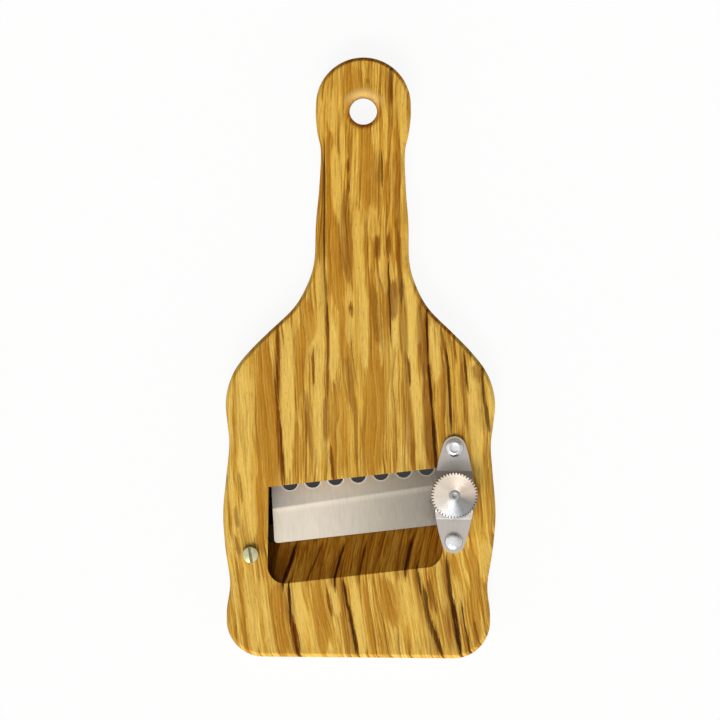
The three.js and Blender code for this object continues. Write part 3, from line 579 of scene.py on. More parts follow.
def turned_metal(name, colour, centre, roughness, rock, shaded_below=None, notched=None):
    """Metal faced on a lathe: fine rings round an axis that catch the light in fans.

    Fans of painted reflection also lighten and darken the tone. Below the level shaded_below, in
    millimetres, painted shade darkens the metal. The hardware sizes as notched add painted shade
    between the knob's serrations and painted reflections round its face.
    """
    nodes = Nodes(bpy.data.materials.new(name))
    x, y, z = nodes.place(centre)
    radius = nodes.maximum(nodes.length(x, y), 0.05)
    outward = nodes.xyz(x / radius, y / radius, 0)
    rings = nodes.noise(radius * 5, z * 5, 0, detail=3)
    fans = nodes.noise(x / radius * 1.7, y / radius * 1.7, radius * 0.05, detail=4, roughness=0.6)
    cloud = nodes.noise(x * 0.35, y * 0.35, z * 0.35, detail=3)
    wave = nodes.math("SINE", radius * (math.tau / RING_PITCH) + (rings - 0.5) * 8)
    # The fans lighten and darken the tone as painted reflection
    tone = 0.9 + (rings - 0.5) * 0.2 + (cloud - 0.5) * 0.14 + (fans - 0.5) * 0.4
    # Below that level the metal is painted darker: painted shade on its sides and in its slot
    if shaded_below is not None:
        tone = tone * (nodes.smooth(z, shaded_below - 0.25, shaded_below) * 0.62 + 0.38)
    if notched is not None:
        turn = nodes.math("ARCTAN2", y, x)
        groove = nodes.smooth(nodes.math("COSINE", turn * notched.serrations), 0, 0.75)
        root = (notched.knob - notched.serration) / MM
        near_rim = nodes.smooth(radius, root - 0.6, root - 0.15)
        specks = nodes.noise(x * 3, y * 3, z, detail=3, roughness=0.7)
        grain = nodes.smooth(y, 3, -4, 0.6) + 0.3
        # Painted shade darkens the face between the serrations
        tone = (tone + (specks - 0.5) * grain) * (1 - groove * near_rim * 0.9)
        # Painted reflections tint the face round its axis
        painted_reflection = nodes.node("ValToRGB", {"stops": KNOB_REFLECTIONS}, {0: turn * (1 / math.tau) + 0.5})
        colour = nodes.blend(1, colour, painted_reflection, "MULTIPLY")
    return nodes.finish({
        "Base Color": nodes.shade(colour, tone),
        "Metallic": 1,
        "Roughness": roughness + (cloud - 0.5) * 0.12 + (fans - 0.5) * 0.15,
        "Normal": nodes.rocked(outward, wave * rock),
    })


def snapped_metal(name, colour, roughness):
    """Soft metal with the small dents and tool marks of setting."""
    nodes = Nodes(bpy.data.materials.new(name))
    x, y, z = nodes.place()
    dents = nodes.noise(x * 0.9, y * 0.9, z * 0.9, detail=3)
    scrapes = nodes.noise(x * 4, y * 1.2, z * 4, detail=3)
    tone = 0.94 + (dents - 0.5) * 0.22 + (scrapes - 0.5) * 0.14
    height = dents + scrapes * 0.3
    bump = nodes.node("Bump", {}, {"Strength": 0.5, "Distance": 0.2 * MM, "Height": height})
    return nodes.finish({
        "Base Color": nodes.shade(colour, tone),
        "Metallic": 1,
        "Roughness": roughness + (scrapes - 0.5) * 0.2,
        "Normal": bump,
    })


def place_of(node):
    """The middle of a CAD node, seen from above."""
    low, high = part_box(node)
    return Vector(((low.x + high.x) / 2, (low.y + high.y) / 2, 0))


def flat(bm, points, height=0.0):
    """One face through a closed line of points."""
    corners = [bm.verts.new((x, y, height)) for x, y in points]
    return bm.faces.new(corners)


def pulled(bm, face, way):
    """Closes a solid by pulling its one face along a way."""
    made = bmesh.ops.extrude_face_region(bm, geom=[face])["geom"]
    verts = [item for item in made if isinstance(item, bmesh.types.BMVert)]
    bmesh.ops.translate(bm, verts=verts, vec=way)
    bmesh.ops.recalc_face_normals(bm, faces=bm.faces)
    return bm


def prism(points, bottom, top):
    """A flat outline pulled up from one level to another."""
    bm = bmesh.new()
    return pulled(bm, flat(bm, points, bottom), (0, 0, top - bottom))


def spun(profile, centre=Vector(), steps=64):
    """A turned solid about an upright axis. The profile is pairs of radius and height in mm."""
    bm = bmesh.new()
    ring = profile[0] == profile[-1]
    points = profile[:-1] if ring else profile
    verts = [bm.verts.new((radius * MM, 0, height * MM)) for radius, height in points]
    pairs = list(zip(verts, verts[1:] + verts[:1])) if ring else list(zip(verts, verts[1:]))
    edges = [bm.edges.new(pair) for pair in pairs]
    bmesh.ops.spin(
        bm, geom=verts + edges, cent=(0, 0, 0), axis=(0, 0, 1), dvec=(0, 0, 0),
        angle=math.tau, steps=steps, use_merge=True, use_duplicate=False,
    )
    bmesh.ops.remove_doubles(bm, verts=bm.verts, dist=MERGE_WITHIN)
    bmesh.ops.recalc_face_normals(bm, faces=bm.faces)
    bmesh.ops.translate(bm, verts=bm.verts, vec=centre)
    return bm


def rod(radius, bottom, top, centre=Vector(), steps=48):
    return spun([(0, bottom), (radius, bottom), (radius, top), (0, top)], centre, steps)


def arc(centre, radius, start, end, steps):
    turns = [start + (end - start) * step / steps for step in range(steps + 1)]
    return [(centre[0] + radius * math.cos(t), centre[1] + radius * math.sin(t)) for t in turns]


def rounded(corners, steps=8):
    """A closed outline through corners written as x, y and the radius that rounds the corner."""
    points = []
    for index, (x, y, radius) in enumerate(corners):
        corner = Vector((x, y))
        if radius <= 0:
            points.append((x, y))
            continue
        following = corners[(index + 1) % len(corners)]
        back = (Vector(corners[index - 1][:2]) - corner).normalized()
        ahead = (Vector(following[:2]) - corner).normalized()
        half = math.acos(back.dot(ahead)) / 2
        centre = corner + (back + ahead).normalized() * (radius / math.sin(half))
        reach = radius / math.tan(half)
        first = corner + back * reach - centre
        last = corner + ahead * reach - centre
        start = math.atan2(first.y, first.x)
        sweep = math.remainder(math.atan2(last.y, last.x) - start, math.tau)
        points += arc(centre, radius, start, start + sweep, steps)
    return points


def carve(target, tools, operation="DIFFERENCE"):
    """Cuts one mesh by others with the exact solver and returns the result."""
    def temporary(bm):
        mesh = bpy.data.meshes.new("carving")
        bm.to_mesh(mesh)
        bm.free()
        made = bpy.data.objects.new("carving", mesh)
        bpy.context.scene.collection.objects.link(made)
        return made

    base = temporary(target)
    cutters = [temporary(tool) for tool in tools]
    for cutter in cutters:
        modifier = base.modifiers.new("carving", "BOOLEAN")
        modifier.solver = "EXACT"
        modifier.operation = operation
        modifier.object = cutter
    bpy.context.view_layer.update()
    solved = base.evaluated_get(bpy.context.evaluated_depsgraph_get())
    result = bmesh.new()
    result.from_mesh(solved.to_mesh())
    solved.to_mesh_clear()
    for used in [base, *cutters]:
        mesh = used.data
        bpy.data.objects.remove(used)
        bpy.data.meshes.remove(mesh)
    bmesh.ops.remove_doubles(result, verts=result.verts, dist=MERGE_WITHIN)
    return result


def soften(bm, edges, width, segments=2):
    bmesh.ops.bevel(
        bm, geom=edges, offset=width, segments=segments, profile=0.5,
        affect="EDGES", material=-1, clamp_overlap=True,
    )


def sharp_edges(bm, degrees, wanted=lambda edge: True):
    limit = math.radians(degrees)
    return [
        edge for edge in bm.edges
        if len(edge.link_faces) == 2 and edge.calc_face_angle(0) > limit and wanted(edge)
    ]


def is_level(edge):
    return abs(edge.verts[0].co.z - edge.verts[1].co.z) < LEVEL_WITHIN


def lies_at(edge, height):
    return all(abs(vert.co.z - height) < LEVEL_WITHIN for vert in edge.verts)


def finished(name, bm, material, body, slot, *nodes, crease=35):
    """Makes the piece, smooth but for its creases, and ties it to the frame."""
    bmesh.ops.recalc_face_normals(bm, faces=bm.faces)
    for face in bm.faces:
        face.smooth = True
    mesh = bpy.data.meshes.new(name)
    bm.to_mesh(mesh)
    bm.free()
    mesh.set_sharp_from_angle(angle=math.radians(crease))
    mesh.materials.append(material)
    piece = bpy.data.objects.new(name, mesh)
    bpy.context.scene.collection.objects.link(piece)
    weighted = piece.modifiers.new("flat faces stay flat", "WEIGHTED_NORMAL")
    weighted.keep_sharp = True
    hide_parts(*nodes)
    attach(piece, body)
    return piece


def repaint(node, material):
    """Finishes a solid of the frame that is shown as it is."""
    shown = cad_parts[node]
    shown.data.materials.clear()
    shown.data.materials.append(material)


def catmull_rom(points, steps):
    """A smooth line through points, at evenly spaced shares of their order."""
    line = []
    for step in range(steps + 1):
        share = (len(points) - 1) * step / steps
        index = min(int(share), len(points) - 2)
        t = share - index
        before, start, end, after = (
            Vector(points[min(max(index + offset, 0), len(points) - 1)]) for offset in (-1, 0, 1, 2)
        )
        pull, push = (end - before) / 2, (after - start) / 2
        line.append(
            (2 * start - 2 * end + pull + push) * t ** 3
            + (3 * end - 3 * start - 2 * pull - push) * t ** 2 + pull * t + start
        )
    return [tuple(point) for point in line]


SIDE_SHARES = [
    (0.083, 0.964), (0.123, 0.945), (0.183, 0.982), (0.242, 1), (0.303, 0.978), (0.354, 0.96),
    (0.388, 0.975), (0.423, 0.989), (0.454, 0.966), (0.483, 0.908), (0.512, 0.805),
    (0.542, 0.674), (0.582, 0.495), (0.622, 0.396), (0.662, 0.348), (0.722, 0.34), (0.782, 0.318),
]
WAIST_SHARES = [(1, 0.886), (0.606, 0.961), (0.265, 1)]
FOOT_WIDTH_SHARE = 0.967


def board_outline(sizes):
    """The board's outline: foot corner, wavy side and handle end, then the same mirrored."""
    half, foot, end = sizes.width / 2, -sizes.length / 2, sizes.handle_end
    foot_half = half * FOOT_WIDTH_SHARE
    corner_centre = (foot_half - sizes.foot_corner, foot + sizes.foot_corner)
    end_y = -foot - end
    stations = [(out * half, foot + up * sizes.length) for up, out in SIDE_SHARES]
    waist = [(out * end, end_y - down * end) for down, out in WAIST_SHARES]
    side = catmull_rom([(foot_half, corner_centre[1]), *stations, *waist, (end, end_y)], 132)
    right = arc(corner_centre, sizes.foot_corner, -math.pi / 2, 0, 20) + side[1:-1]
    round_end = arc((0, end_y), end, 0, math.pi, 56)
    return right + round_end + [(-px, py) for px, py in reversed(right)]


def blade_frame(sizes):
    """Where the blade's own axes lie, flat at first and then leaning, and its heel and edge."""
    pivot, knob = place_of("pivot_screw"), place_of("knob")
    turned = Matrix.Translation(pivot) @ Matrix.Rotation(sizes.skew, 4, "Z")
    screw = turned.inverted() @ knob
    run = sizes.width * math.cos(sizes.tilt)
    heel = screw.y - run / 2
    leaning = turned @ Matrix.Translation((0, heel, sizes.heel_height))
    leaning = leaning @ Matrix.Rotation(-sizes.tilt, 4, "X")
    return turned, leaning, screw, heel, heel + run


def moved(bm, matrix):
    bmesh.ops.transform(bm, matrix=matrix, verts=bm.verts)
    return bm


def rail(profile, start, end):
    """A profile in the y-z plane pulled along x, all in metres."""
    bm = bmesh.new()
    face = bm.faces.new([bm.verts.new((start, y, z)) for y, z in profile])
    return pulled(bm, face, (end - start, 0, 0))


SLOT_DEPTH = 1.1 * MM
# Widths of the softened edges
SLOT_EDGE, PLATE_EDGE, BRIDGE_EDGE = 0.18 * MM, 0.12 * MM, 0.22 * MM

# The throat, along the blade's own axes
EDGE_COVER = 0.5 * MM
EXIT_LENGTH = 17.2 * MM
MOUTH_WIDTH = 1.6 * MM
NOSE_REACH = 0.8 * MM
NOSE_THICKNESS = 0.6 * MM
WINDOW_FROM_PIVOT = 7.4 * MM
WINDOW_SHORT_OF_KNOB = 4.8 * MM

# The pivot plate: its round eye, and its arm from the throat's nose and along the blade
EYE_RADIUS = 5.5 * MM
ARM_FROM_NOSE = 0.5 * MM
ARM_WIDTH = 7.2 * MM
ARM_LENGTH = 25 * MM


def throat(board, blade):
    """The window in the face, open to the mouth in the sole: an undercut head and a ramp."""
    turned, _, _, heel, edge = blade_frame(blade)
    pivot, knob = place_of("pivot_screw"), place_of("knob")
    thickness = board.thickness
    head, mouth = edge - EDGE_COVER, edge + MOUTH_WIDTH
    foot, nose = heel - EXIT_LENGTH, heel + NOSE_REACH
    wall_lean = (mouth - head) / thickness
    ramp_lean = (nose - foot) / (thickness - NOSE_THICKNESS)
    run = moved(rail([
        (nose, -OVERRUN),
        (mouth + wall_lean * OVERRUN, -OVERRUN),
        (head - wall_lean * OVERRUN, thickness + OVERRUN),
        (foot - ramp_lean * OVERRUN, thickness + OVERRUN),
        (nose, NOSE_THICKNESS),
    ], -board.width, board.width), turned)

    def on_board(x, y):
        return pivot.y + (y + (x - pivot.x) * math.sin(blade.skew)) / math.cos(blade.skew)

    left, right = pivot.x + WINDOW_FROM_PIVOT, knob.x - WINDOW_SHORT_OF_KNOB
    above = mouth + wall_lean * OVERRUN + OVERRUN
    outline = rounded([
        (left, on_board(left, foot), board.window_foot),
        (right, on_board(right, foot), board.window_foot),
        (right, on_board(right, above), 0),
        (left, on_board(left, above), 0),
    ], steps=12)
    return carve(run, [prism(outline, -OVERRUN, thickness + OVERRUN)], "INTERSECT")


def blade_pocket(blade):
    """The pocket in the sole that hides the blade's right end."""
    _, leaning, screw, heel, edge = blade_frame(blade)
    pivot, knob = place_of("pivot_screw"), place_of("knob")
    wall = knob.x - WINDOW_SHORT_OF_KNOB - FIT_GAP - pivot.x

    def wall_at(y):
        return (wall + y * math.sin(blade.skew)) / math.cos(blade.skew)

    far = screw.x + blade.beyond_knob + POCKET_GAP
    low, high = -FIT_GAP, blade.width + FIT_GAP
    outline = [(wall_at(heel), low), (far, low), (far, high), (wall_at(edge), high)]
    return moved(prism(outline, -OVERRUN, blade.thickness + FIT_GAP), leaning)


def pivot_plate_outline(blade, grow):
    """A round eye over the pivot screw and an arm that reaches under the blade."""
    _, _, _, heel, _ = blade_frame(blade)
    eye = EYE_RADIUS + grow
    eye_foot = -heel / math.cos(blade.tilt) - eye
    arm_low = NOSE_REACH + ARM_FROM_NOSE - grow
    arm_high = arm_low + ARM_WIDTH + 2 * grow
    end, inner, outer = ARM_LENGTH + grow, 2 * MM - grow, 1.5 * MM + grow
    return rounded([
        (-eye, eye_foot, eye), (eye, eye_foot, eye), (eye, arm_low, inner),
        (end, arm_low, outer), (end, arm_high, outer), (-eye, arm_high, eye),
    ])


class SLICER_OT_board(bpy.types.Operator):
    """Cut the board from olive wood, with its hanging hole, throat and pockets"""
    bl_idname = "slicer.board"
    bl_label = "Olive board"

    def execute(self, context):
        board, blade = context.scene.slicer_board, context.scene.slicer_blade
        body = prism(board_outline(board), 0, board.thickness)
        soften(body, sharp_edges(body, 60, is_level), board.rim, 1)
        soften(body, sharp_edges(body, 30, is_level), board.rim_edge, 3)
        pivot, knob = place_of("pivot_screw"), place_of("knob")
        hole_place = Vector((0, board.length / 2 - board.hole_from_end, 0))
        top, through = board.thickness / MM, board.thickness / MM + PAST
        rounding = board.hole_rounding / MM
        mouth = board.hole / MM + rounding
        low_arc = [(mouth - rounding * math.sin(a), rounding - rounding * math.cos(a))
                   for a in (math.pi / 12 * step for step in range(7))]
        high_arc = [(px, top - pz) for px, pz in reversed(low_arc)]
        profile = [(0, -PAST), (mouth, -PAST), *low_arc, *high_arc, (mouth, through), (0, through)]
        _, leaning, _, _, _ = blade_frame(blade)
        rivets = [place_of("upper_rivet"), place_of("lower_rivet")]

        def well(radius, height, centre):
            return rod(radius, -PAST, height, centre)

        tools = [
            spun(profile, hole_place, 96),
            throat(board, blade),
            blade_pocket(blade),
            moved(prism(pivot_plate_outline(blade, FIT_GAP), -OVERRUN, 0), leaning),
            well(*PIVOT_BUSH_WELL, pivot),
            well(SHANK_HOLE, through, pivot),
            well(*BLADE_BUSH_WELL, knob),
            well(SCREW_HOLE, through, knob),
            *[well(SHANK_HOLE, through, centre) for centre in rivets],
            *[well(*RIVET_WELL, centre) for centre in rivets],
        ]
        body = carve(body, tools)

        def on_window(edge):
            middle = (edge.verts[0].co + edge.verts[1].co) / 2
            near = abs(middle.x) < 40 * MM and -110 * MM < middle.y < -50 * MM
            off_screw = (middle - knob).xy.length > (SCREW_HOLE + 0.9) * MM
            return lies_at(edge, board.thickness) and near and off_screw

        soften(body, sharp_edges(body, 20, on_window), board.window_edge, 3)
        finished(
            "olive_board", body, olive_wood(context.scene.slicer_finishes, hole_place),
            "board", "olive_wood", "board",
        )
        return {"FINISHED"}


class SLICER_OT_blade(bpy.types.Operator):
    """Grind the scalloped blade"""
    bl_idname = "slicer.blade"
    bl_label = "Blade"

    def execute(self, context):
        blade = context.scene.slicer_blade
        _, leaning, screw, _, _ = blade_frame(blade)
        width, thick = blade.width, blade.thickness
        far = screw.x + blade.beyond_knob
        lean = math.tan(blade.end_lean)
        outline = rounded([
            (blade.from_pivot, 0, blade.corner),
            (far, 0, blade.corner),
            (far, width, 0),
            (blade.from_pivot + width * lean, width, 0),
        ])
        blank = prism(outline, 0, thick)
        slope = Vector((0, thick - blade.edge, blade.bevel)).normalized()
        slope.rotate(Matrix.Rotation(blade.bevel_lean, 3, "Z"))
        everything = blank.verts[:] + blank.edges[:] + blank.faces[:]
        cut = bmesh.ops.bisect_plane(
            blank, geom=everything, plane_co=(blade.from_pivot, width - blade.bevel, thick),
            plane_no=slope, clear_outer=True,
        )
        rim = [item for item in cut["geom_cut"] if isinstance(item, bmesh.types.BMEdge)]
        bmesh.ops.holes_fill(blank, edges=rim)
        first = blade.from_pivot + blade.first_gullet
        count = int((far - first) / blade.pitch) + 1
        flare = PAST * math.tan(blade.gullet_grind)
        radius = blade.gullet / MM
        tools = [
            spun(
                [(0, -PAST), (radius, -PAST), (radius, 0), (radius + flare, PAST), (0, PAST)],
                Vector((first + index * blade.pitch, width, 0)), 72,
            )
            for index in range(count)
        ]
        ground = moved(carve(blank, tools), leaning)
        ground = carve(ground, [rod(BLADE_BUSH_HOLE, -PAST, FACE, place_of("knob"))])
        steel = ground_steel("blade_steel", context.scene.slicer_finishes.blade, blade)
        finished("ground_blade", ground, steel, "blade", "blade_steel", "blade", crease=3)
        return {"FINISHED"}


def bridge_outline(sizes):
    """The bridge from above: a round end at each rivet and sides that swell to the middle."""
    end_y, end = sizes.rivet_spacing / 2, sizes.bridge_end
    spread = sizes.bridge_half_width - end
    side = (spread ** 2 + end_y ** 2) / (2 * spread) + end
    centre_x = sizes.bridge_half_width - side
    sweep = math.atan2(end_y, -centre_x)
    right = arc((centre_x, 0), side, -sweep, sweep, 40)
    head = arc((0, end_y), end, sweep, math.pi - sweep, 24)
    left = [(-px, py) for px, py in reversed(right)]
    tail = [(px, -py) for px, py in reversed(head)]
    return right[:-1] + head[:-1] + left[:-1] + tail[:-1]


class SLICER_OT_bridge(bpy.types.Operator):
    """Press the raised bridge plate from sheet"""
    bl_idname = "slicer.bridge"
    bl_label = "Bridge plate"

    def execute(self, context):
        sizes, finishes = context.scene.slicer_hardware, context.scene.slicer_finishes
        base = context.scene.slicer_board.thickness
        flat_half, slope_run, bend = 6.4 * MM, 3.5 * MM, 0.7 * MM
        bm = bmesh.new()
        flat(bm, bridge_outline(sizes))
        lines = 30
        reach = flat_half + slope_run + bend
        for step in range(-lines, lines + 1):
            everything = bm.verts[:] + bm.edges[:] + bm.faces[:]
            y = reach * step / lines
            if abs(y) < flat_half - bend - FIT_GAP:
                continue
            bmesh.ops.bisect_plane(bm, geom=everything, plane_co=(0, y, 0), plane_no=(0, 1, 0))

        def rise(y):
            """The bridge's height over its feet: a flat and two slopes, joined by round bends."""
            def soft(value):
                if value <= -bend:
                    return 0.0
                if value >= bend:
                    return value
                return (value + bend) ** 2 / (4 * bend)
            down = abs(y) - flat_half
            lean = sizes.bridge_rise / slope_run
            return sizes.bridge_rise - lean * (soft(down) - soft(down - slope_run))

        for vert in bm.verts:
            vert.co.z = base + rise(vert.co.y)
        bmesh.ops.recalc_face_normals(bm, faces=bm.faces)
        if sum(face.normal.z for face in bm.faces) < 0:
            bmesh.ops.reverse_faces(bm, faces=bm.faces)
        bmesh.ops.solidify(bm, geom=bm.faces[:], thickness=-sizes.bridge_thickness)
        bmesh.ops.recalc_face_normals(bm, faces=bm.faces)
        low = min(vert.co.z for vert in bm.verts)
        bmesh.ops.translate(bm, verts=bm.verts, vec=(0, 0, base - low))
        soften(bm, sharp_edges(bm, 60), BRIDGE_EDGE)
        bmesh.ops.translate(bm, verts=bm.verts, vec=place_of("bridge_plate"))
        holes = {"knob": BRIDGE_SCREW_HOLE, "upper_rivet": SHANK_HOLE, "lower_rivet": SHANK_HOLE}
        bm = carve(bm, [rod(hole, 5, 30, place_of(node)) for node, hole in holes.items()])
        steel = brushed_steel(
            "bridge_steel", finishes.bridge, (0.15, 1, 0), roughness=0.45, rock=0.4, metallic=0.6,
        )
        finished("raised_bridge", bm, steel, "board", "brushed_plate", "bridge_plate")
        return {"FINISHED"}


class SLICER_OT_rivets(bpy.types.Operator):
    """Set the two rivets over their washers"""
    bl_idname = "slicer.rivets"
    bl_label = "Rivets and washers"

    def execute(self, context):
        finishes = context.scene.slicer_finishes
        bright = snapped_metal("rivet_bright", finishes.rivet, 0.24)
        nickel = snapped_metal("washer_plating", finishes.nickel, 0.34)
        tail = [(0, 0.3), (2.0, 0.3), (2.5, 0.42), (2.95, 0.75), (3.1, 1.1), (3.1, 1.2), (2.0, 1.2)]
        rim = [(2.0, 0), (3.86, 0), (3.95, 0.1)]
        dome = RIVET_TOP - BRIDGE_FOOT_TOP
        heads = {
            "upper_rivet": [
                *rim, (3.9, 0.5), (3.6, 0.95), (3.0, 1.4), (2.5, 1.62), (2.0, 1.68), (1.75, 1.45),
                (1.4, 1.36), (0.7, 1.34), (0, 1.34),
            ],
            "lower_rivet": [
                *rim, (3.92, 0.45), (3.75, 0.85), (3.4, 1.2), (2.9, 1.48), (2.2, 1.68),
                (1.4, 1.77), (0.7, dome), (0, dome),
            ],
        }
        for node, shape in heads.items():
            place = place_of(node)
            head = [(radius, BRIDGE_FOOT_TOP + rise) for radius, rise in shape]
            finished(
                "set_" + node, spun(tail + head, place, 56), bright, "board", "rivet_metal", node,
                crease=50,
            )
            washer = [(2.3, 1.3), (2.4, 1.2), (4.05, 1.2), (4.2, 1.35), (4.2, 1.85), (4.05, 2.0),
                      (2.3, 2.0), (2.3, 1.3)]
            finished(
                "set_" + node + "_washer", spun(washer, place, 56), nickel, "board",
                "plated_brass", node + "_washer",
            )
        return {"FINISHED"}


def thread(radius, depth, bottom, top, pitch):
    """The side of a threaded rod as pairs of radius and height."""
    turns = int((top - bottom) / pitch)
    points = [(radius - depth, bottom)]
    for turn in range(turns):
        foot = bottom + turn * pitch
        crest = [(radius, foot + pitch * 0.42), (radius, foot + pitch * 0.58)]
        points += [*crest, (radius - depth, foot + pitch)]
    return points


class SLICER_OT_pivot(bpy.types.Operator):
    """Make the pivot screw and the cranked plate"""
    bl_idname = "slicer.pivot"
    bl_label = "Pivot screw, bush and plate"

    def execute(self, context):
        sizes, finishes = context.scene.slicer_hardware, context.scene.slicer_finishes
        blade = context.scene.slicer_blade
        pivot = place_of("pivot_screw")
        # The screw's sides and slot are darkened by painted shade below the head's top
        nickel = turned_metal(
            "screw_plating", finishes.nickel, pivot, roughness=0.34, rock=0.16,
            shaded_below=PIVOT_HEAD_TOP - 0.7,
        )
        head, top = sizes.screw_head / MM, PIVOT_HEAD_TOP
        profile = [(0, 0.6), (1.5, 0.6), *thread(2.0, 0.35, 0.9, 9.0, 0.7), (2.0, 9.4), (2.0, FACE),
                   (head - 0.1, FACE), (head, FACE + 0.1), (head, top - 0.45),
                   (head - 0.13, top - 0.13), (head - 0.45, top), (0, top)]
        screw = spun(profile, pivot, 72)
        slot = bmesh.new()
        bmesh.ops.create_cube(slot, size=1)
        slot_size = (4 * sizes.screw_head, sizes.screw_slot, 2 * SLOT_DEPTH)
        bmesh.ops.scale(slot, verts=slot.verts, vec=slot_size)
        moved(slot, Matrix.Rotation(sizes.screw_slot_turn, 4, "Z"))
        moved(slot, Matrix.Translation(pivot + Vector((0, 0, top * MM))))
        screw = carve(screw, [slot])

        def on_slot(edge):
            return lies_at(edge, top * MM) and edge.calc_length() > 2 * MM

        soften(screw, sharp_edges(screw, 60, on_slot), SLOT_EDGE, 3)
        finished("slotted_pivot_screw", screw, nickel, "board", "plated_brass", "pivot_screw")

        _, leaning, _, _, _ = blade_frame(blade)
        plate = prism(pivot_plate_outline(blade, 0), -1.3 * MM, -0.3 * MM)
        soften(plate, sharp_edges(plate, 60, is_level), PLATE_EDGE)
        plate = carve(moved(plate, leaning), [rod(PIVOT_BUSH_HOLE, -PAST, FACE, pivot)])
        # The plate's dark blued colour is also painted shade: it stands for the deep shade in the
        # gap beside the blade's left end
        steel = brushed_steel(
            "plate_steel", finishes.blued, (1, 0.12, 0), roughness=0.42, rock=0.3,
        )
        finished("cranked_plate", plate, steel, "blade", "blued_steel", "pivot_plate", crease=20)
        return {"FINISHED"}


class SLICER_OT_knob(bpy.types.Operator):
    """Turn and serrate the thumb knob and its screw"""
    bl_idname = "slicer.knob"
    bl_label = "Thumb knob and screw"

    def execute(self, context):
        sizes, finishes = context.scene.slicer_hardware, context.scene.slicer_finishes
        place = place_of("knob")
        radius, count, chamfer = sizes.knob / MM, sizes.serrations, 0.4
        low, high = KNOB_FOOT, KNOB_FOOT + sizes.knob_height / MM
        half_notch = sizes.serration_width / sizes.knob / 2
        root = sizes.knob - sizes.serration
        notch = [(-half_notch, sizes.knob), (-half_notch / 3, root), (half_notch / 3, root),
                 (half_notch, sizes.knob)]
        rim = []
        for index in range(count):
            middle = math.tau * index / count
            rim += [(reach * math.cos(middle + turn), reach * math.sin(middle + turn))
                    for turn, reach in notch]
        toothed = prism(rim, low * MM - FIT_GAP, high * MM + FIT_GAP)
        inner = sizes.knob - FIT_GAP
        roots = [v for v in toothed.verts if v.co.z < low * MM and v.co.xy.length < inner]
        grow = (sizes.knob - sizes.serration_foot) / root
        bmesh.ops.scale(toothed, verts=roots, vec=(grow, grow, 1))
        bmesh.ops.triangulate(toothed, faces=toothed.faces)
        moved(toothed, Matrix.Translation(place))
        blank = spun([
            (0, low), (radius - chamfer, low), (radius + chamfer, low + 2 * chamfer),
            (radius + chamfer, high - 2 * chamfer), (radius - chamfer, high), (0, high),
        ], place, 4 * count)
        disc = carve(toothed, [blank], "INTERSECT")
        body = carve(disc, [rod(KNOB_BORE, 10, 30, place)])
        # The knob's sides and chamfer are darkened by painted shade below its top
        metal = turned_metal(
            "knob_metal", finishes.knob, place, roughness=0.4, rock=0.3, shaded_below=high - 0.2,
            notched=sizes,
        )
        finished("serrated_knob", body, metal, "knob", "knob_metal", "knob", crease=25)
        hub_top = low + 0.05
        hub = spun([
            (2.6, HUB_FOOT), (5.4, HUB_FOOT), (5.5, HUB_FOOT + 0.1), (5.5, hub_top), (2.6, hub_top),
            (2.6, HUB_FOOT),
        ], place, 64)
        finished("knob_hub", hub, metal, "knob", "knob_metal")

        end = SCREW_END
        screw = spun([
            (0, 0.4), (2.0, 0.4), *thread(2.5, 0.42, 0.9, 12.9, 0.8), (2.5, 13.7), (2.5, 13.9),
            (1.9, 13.9), (1.9, 15.3), (2.5, 15.3), (2.5, 17.9), (2.4, 17.9), (2.4, end - 0.3),
            (2.3, end - 0.1), (2.1, end), (1.1, end), (0.75, end - 0.1), (0.5, end - 0.4),
            (0, end - 0.5),
        ], place, 64)
        steel = turned_metal("screw_steel", finishes.plain, place, roughness=0.4, rock=0.2)
        finished("staked_thumb_screw", screw, steel, "knob", "screw_steel", "thumb_screw")
        spring = turned_metal("spring_steel", finishes.blued, place, roughness=0.4, rock=0.2)
        repaint("retaining_clip", spring)
        repaint("friction_washer", spring)
        return {"FINISHED"}


class SLICER_OT_bushes(bpy.types.Operator):
    """Finish the two threaded bushes"""
    bl_idname = "slicer.bushes"
    bl_label = "Threaded bushes"

    def execute(self, context):
        finishes = context.scene.slicer_finishes
        for node in ("pivot_bush", "blade_bush"):
            repaint(node, turned_metal(
                node + "_plating", finishes.nickel, place_of(node), roughness=0.36, rock=0.15,
            ))
        return {"FINISHED"}


def backdrop_surface(name, colour, lost, glow, shine=1, lit_from=None):
    """A surface under the object that the camera sees as shine, but for the object's shadow.

    It gives back the share lost less of the light that falls on it. Left of lit_from, in
    millimetres, it is black.
    """
    nodes = Nodes(bpy.data.materials.new(name))
    path = nodes.ray("Camera")
    if lit_from is not None:
        x, _, _ = nodes.place()
        shine = nodes.smooth(x, lit_from, lit_from + 1.5, shine)
    seen = nodes.maximum(nodes.maximum(path, nodes.ray("Glossy")), nodes.ray("Transmission"))
    given = nodes.grey(colour * (1 - lost) + path * (colour * lost))
    plain = nodes.node("BsdfDiffuse", {}, {"Color": given})
    light = nodes.node("Emission", {}, {"Color": (1, 1, 1), "Strength": shine})
    mixed = nodes.node("MixShader", {}, {0: seen * glow, 1: plain, 2: light})
    behind = nodes.node("NewGeometry", {}, {}, "Backfacing") * path
    clear = nodes.node("BsdfTransparent", {}, {})
    shown = nodes.node("MixShader", {}, {0: behind, 1: mixed, 2: clear})
    nodes.node("OutputMaterial", {}, {"Surface": shown})
    return nodes.owner


def staged(name, bm, material):
    """Lays out a piece of the stage, which isn't part of the slicer."""
    mesh = bpy.data.meshes.new(name)
    bm.to_mesh(mesh)
    bm.free()
    mesh.materials.append(material)
    piece = bpy.data.objects.new(name, mesh)
    bpy.context.scene.collection.objects.link(piece)


FLOOR_LEVEL, CARD_LEVEL = -0.3 * MM, -0.1 * MM
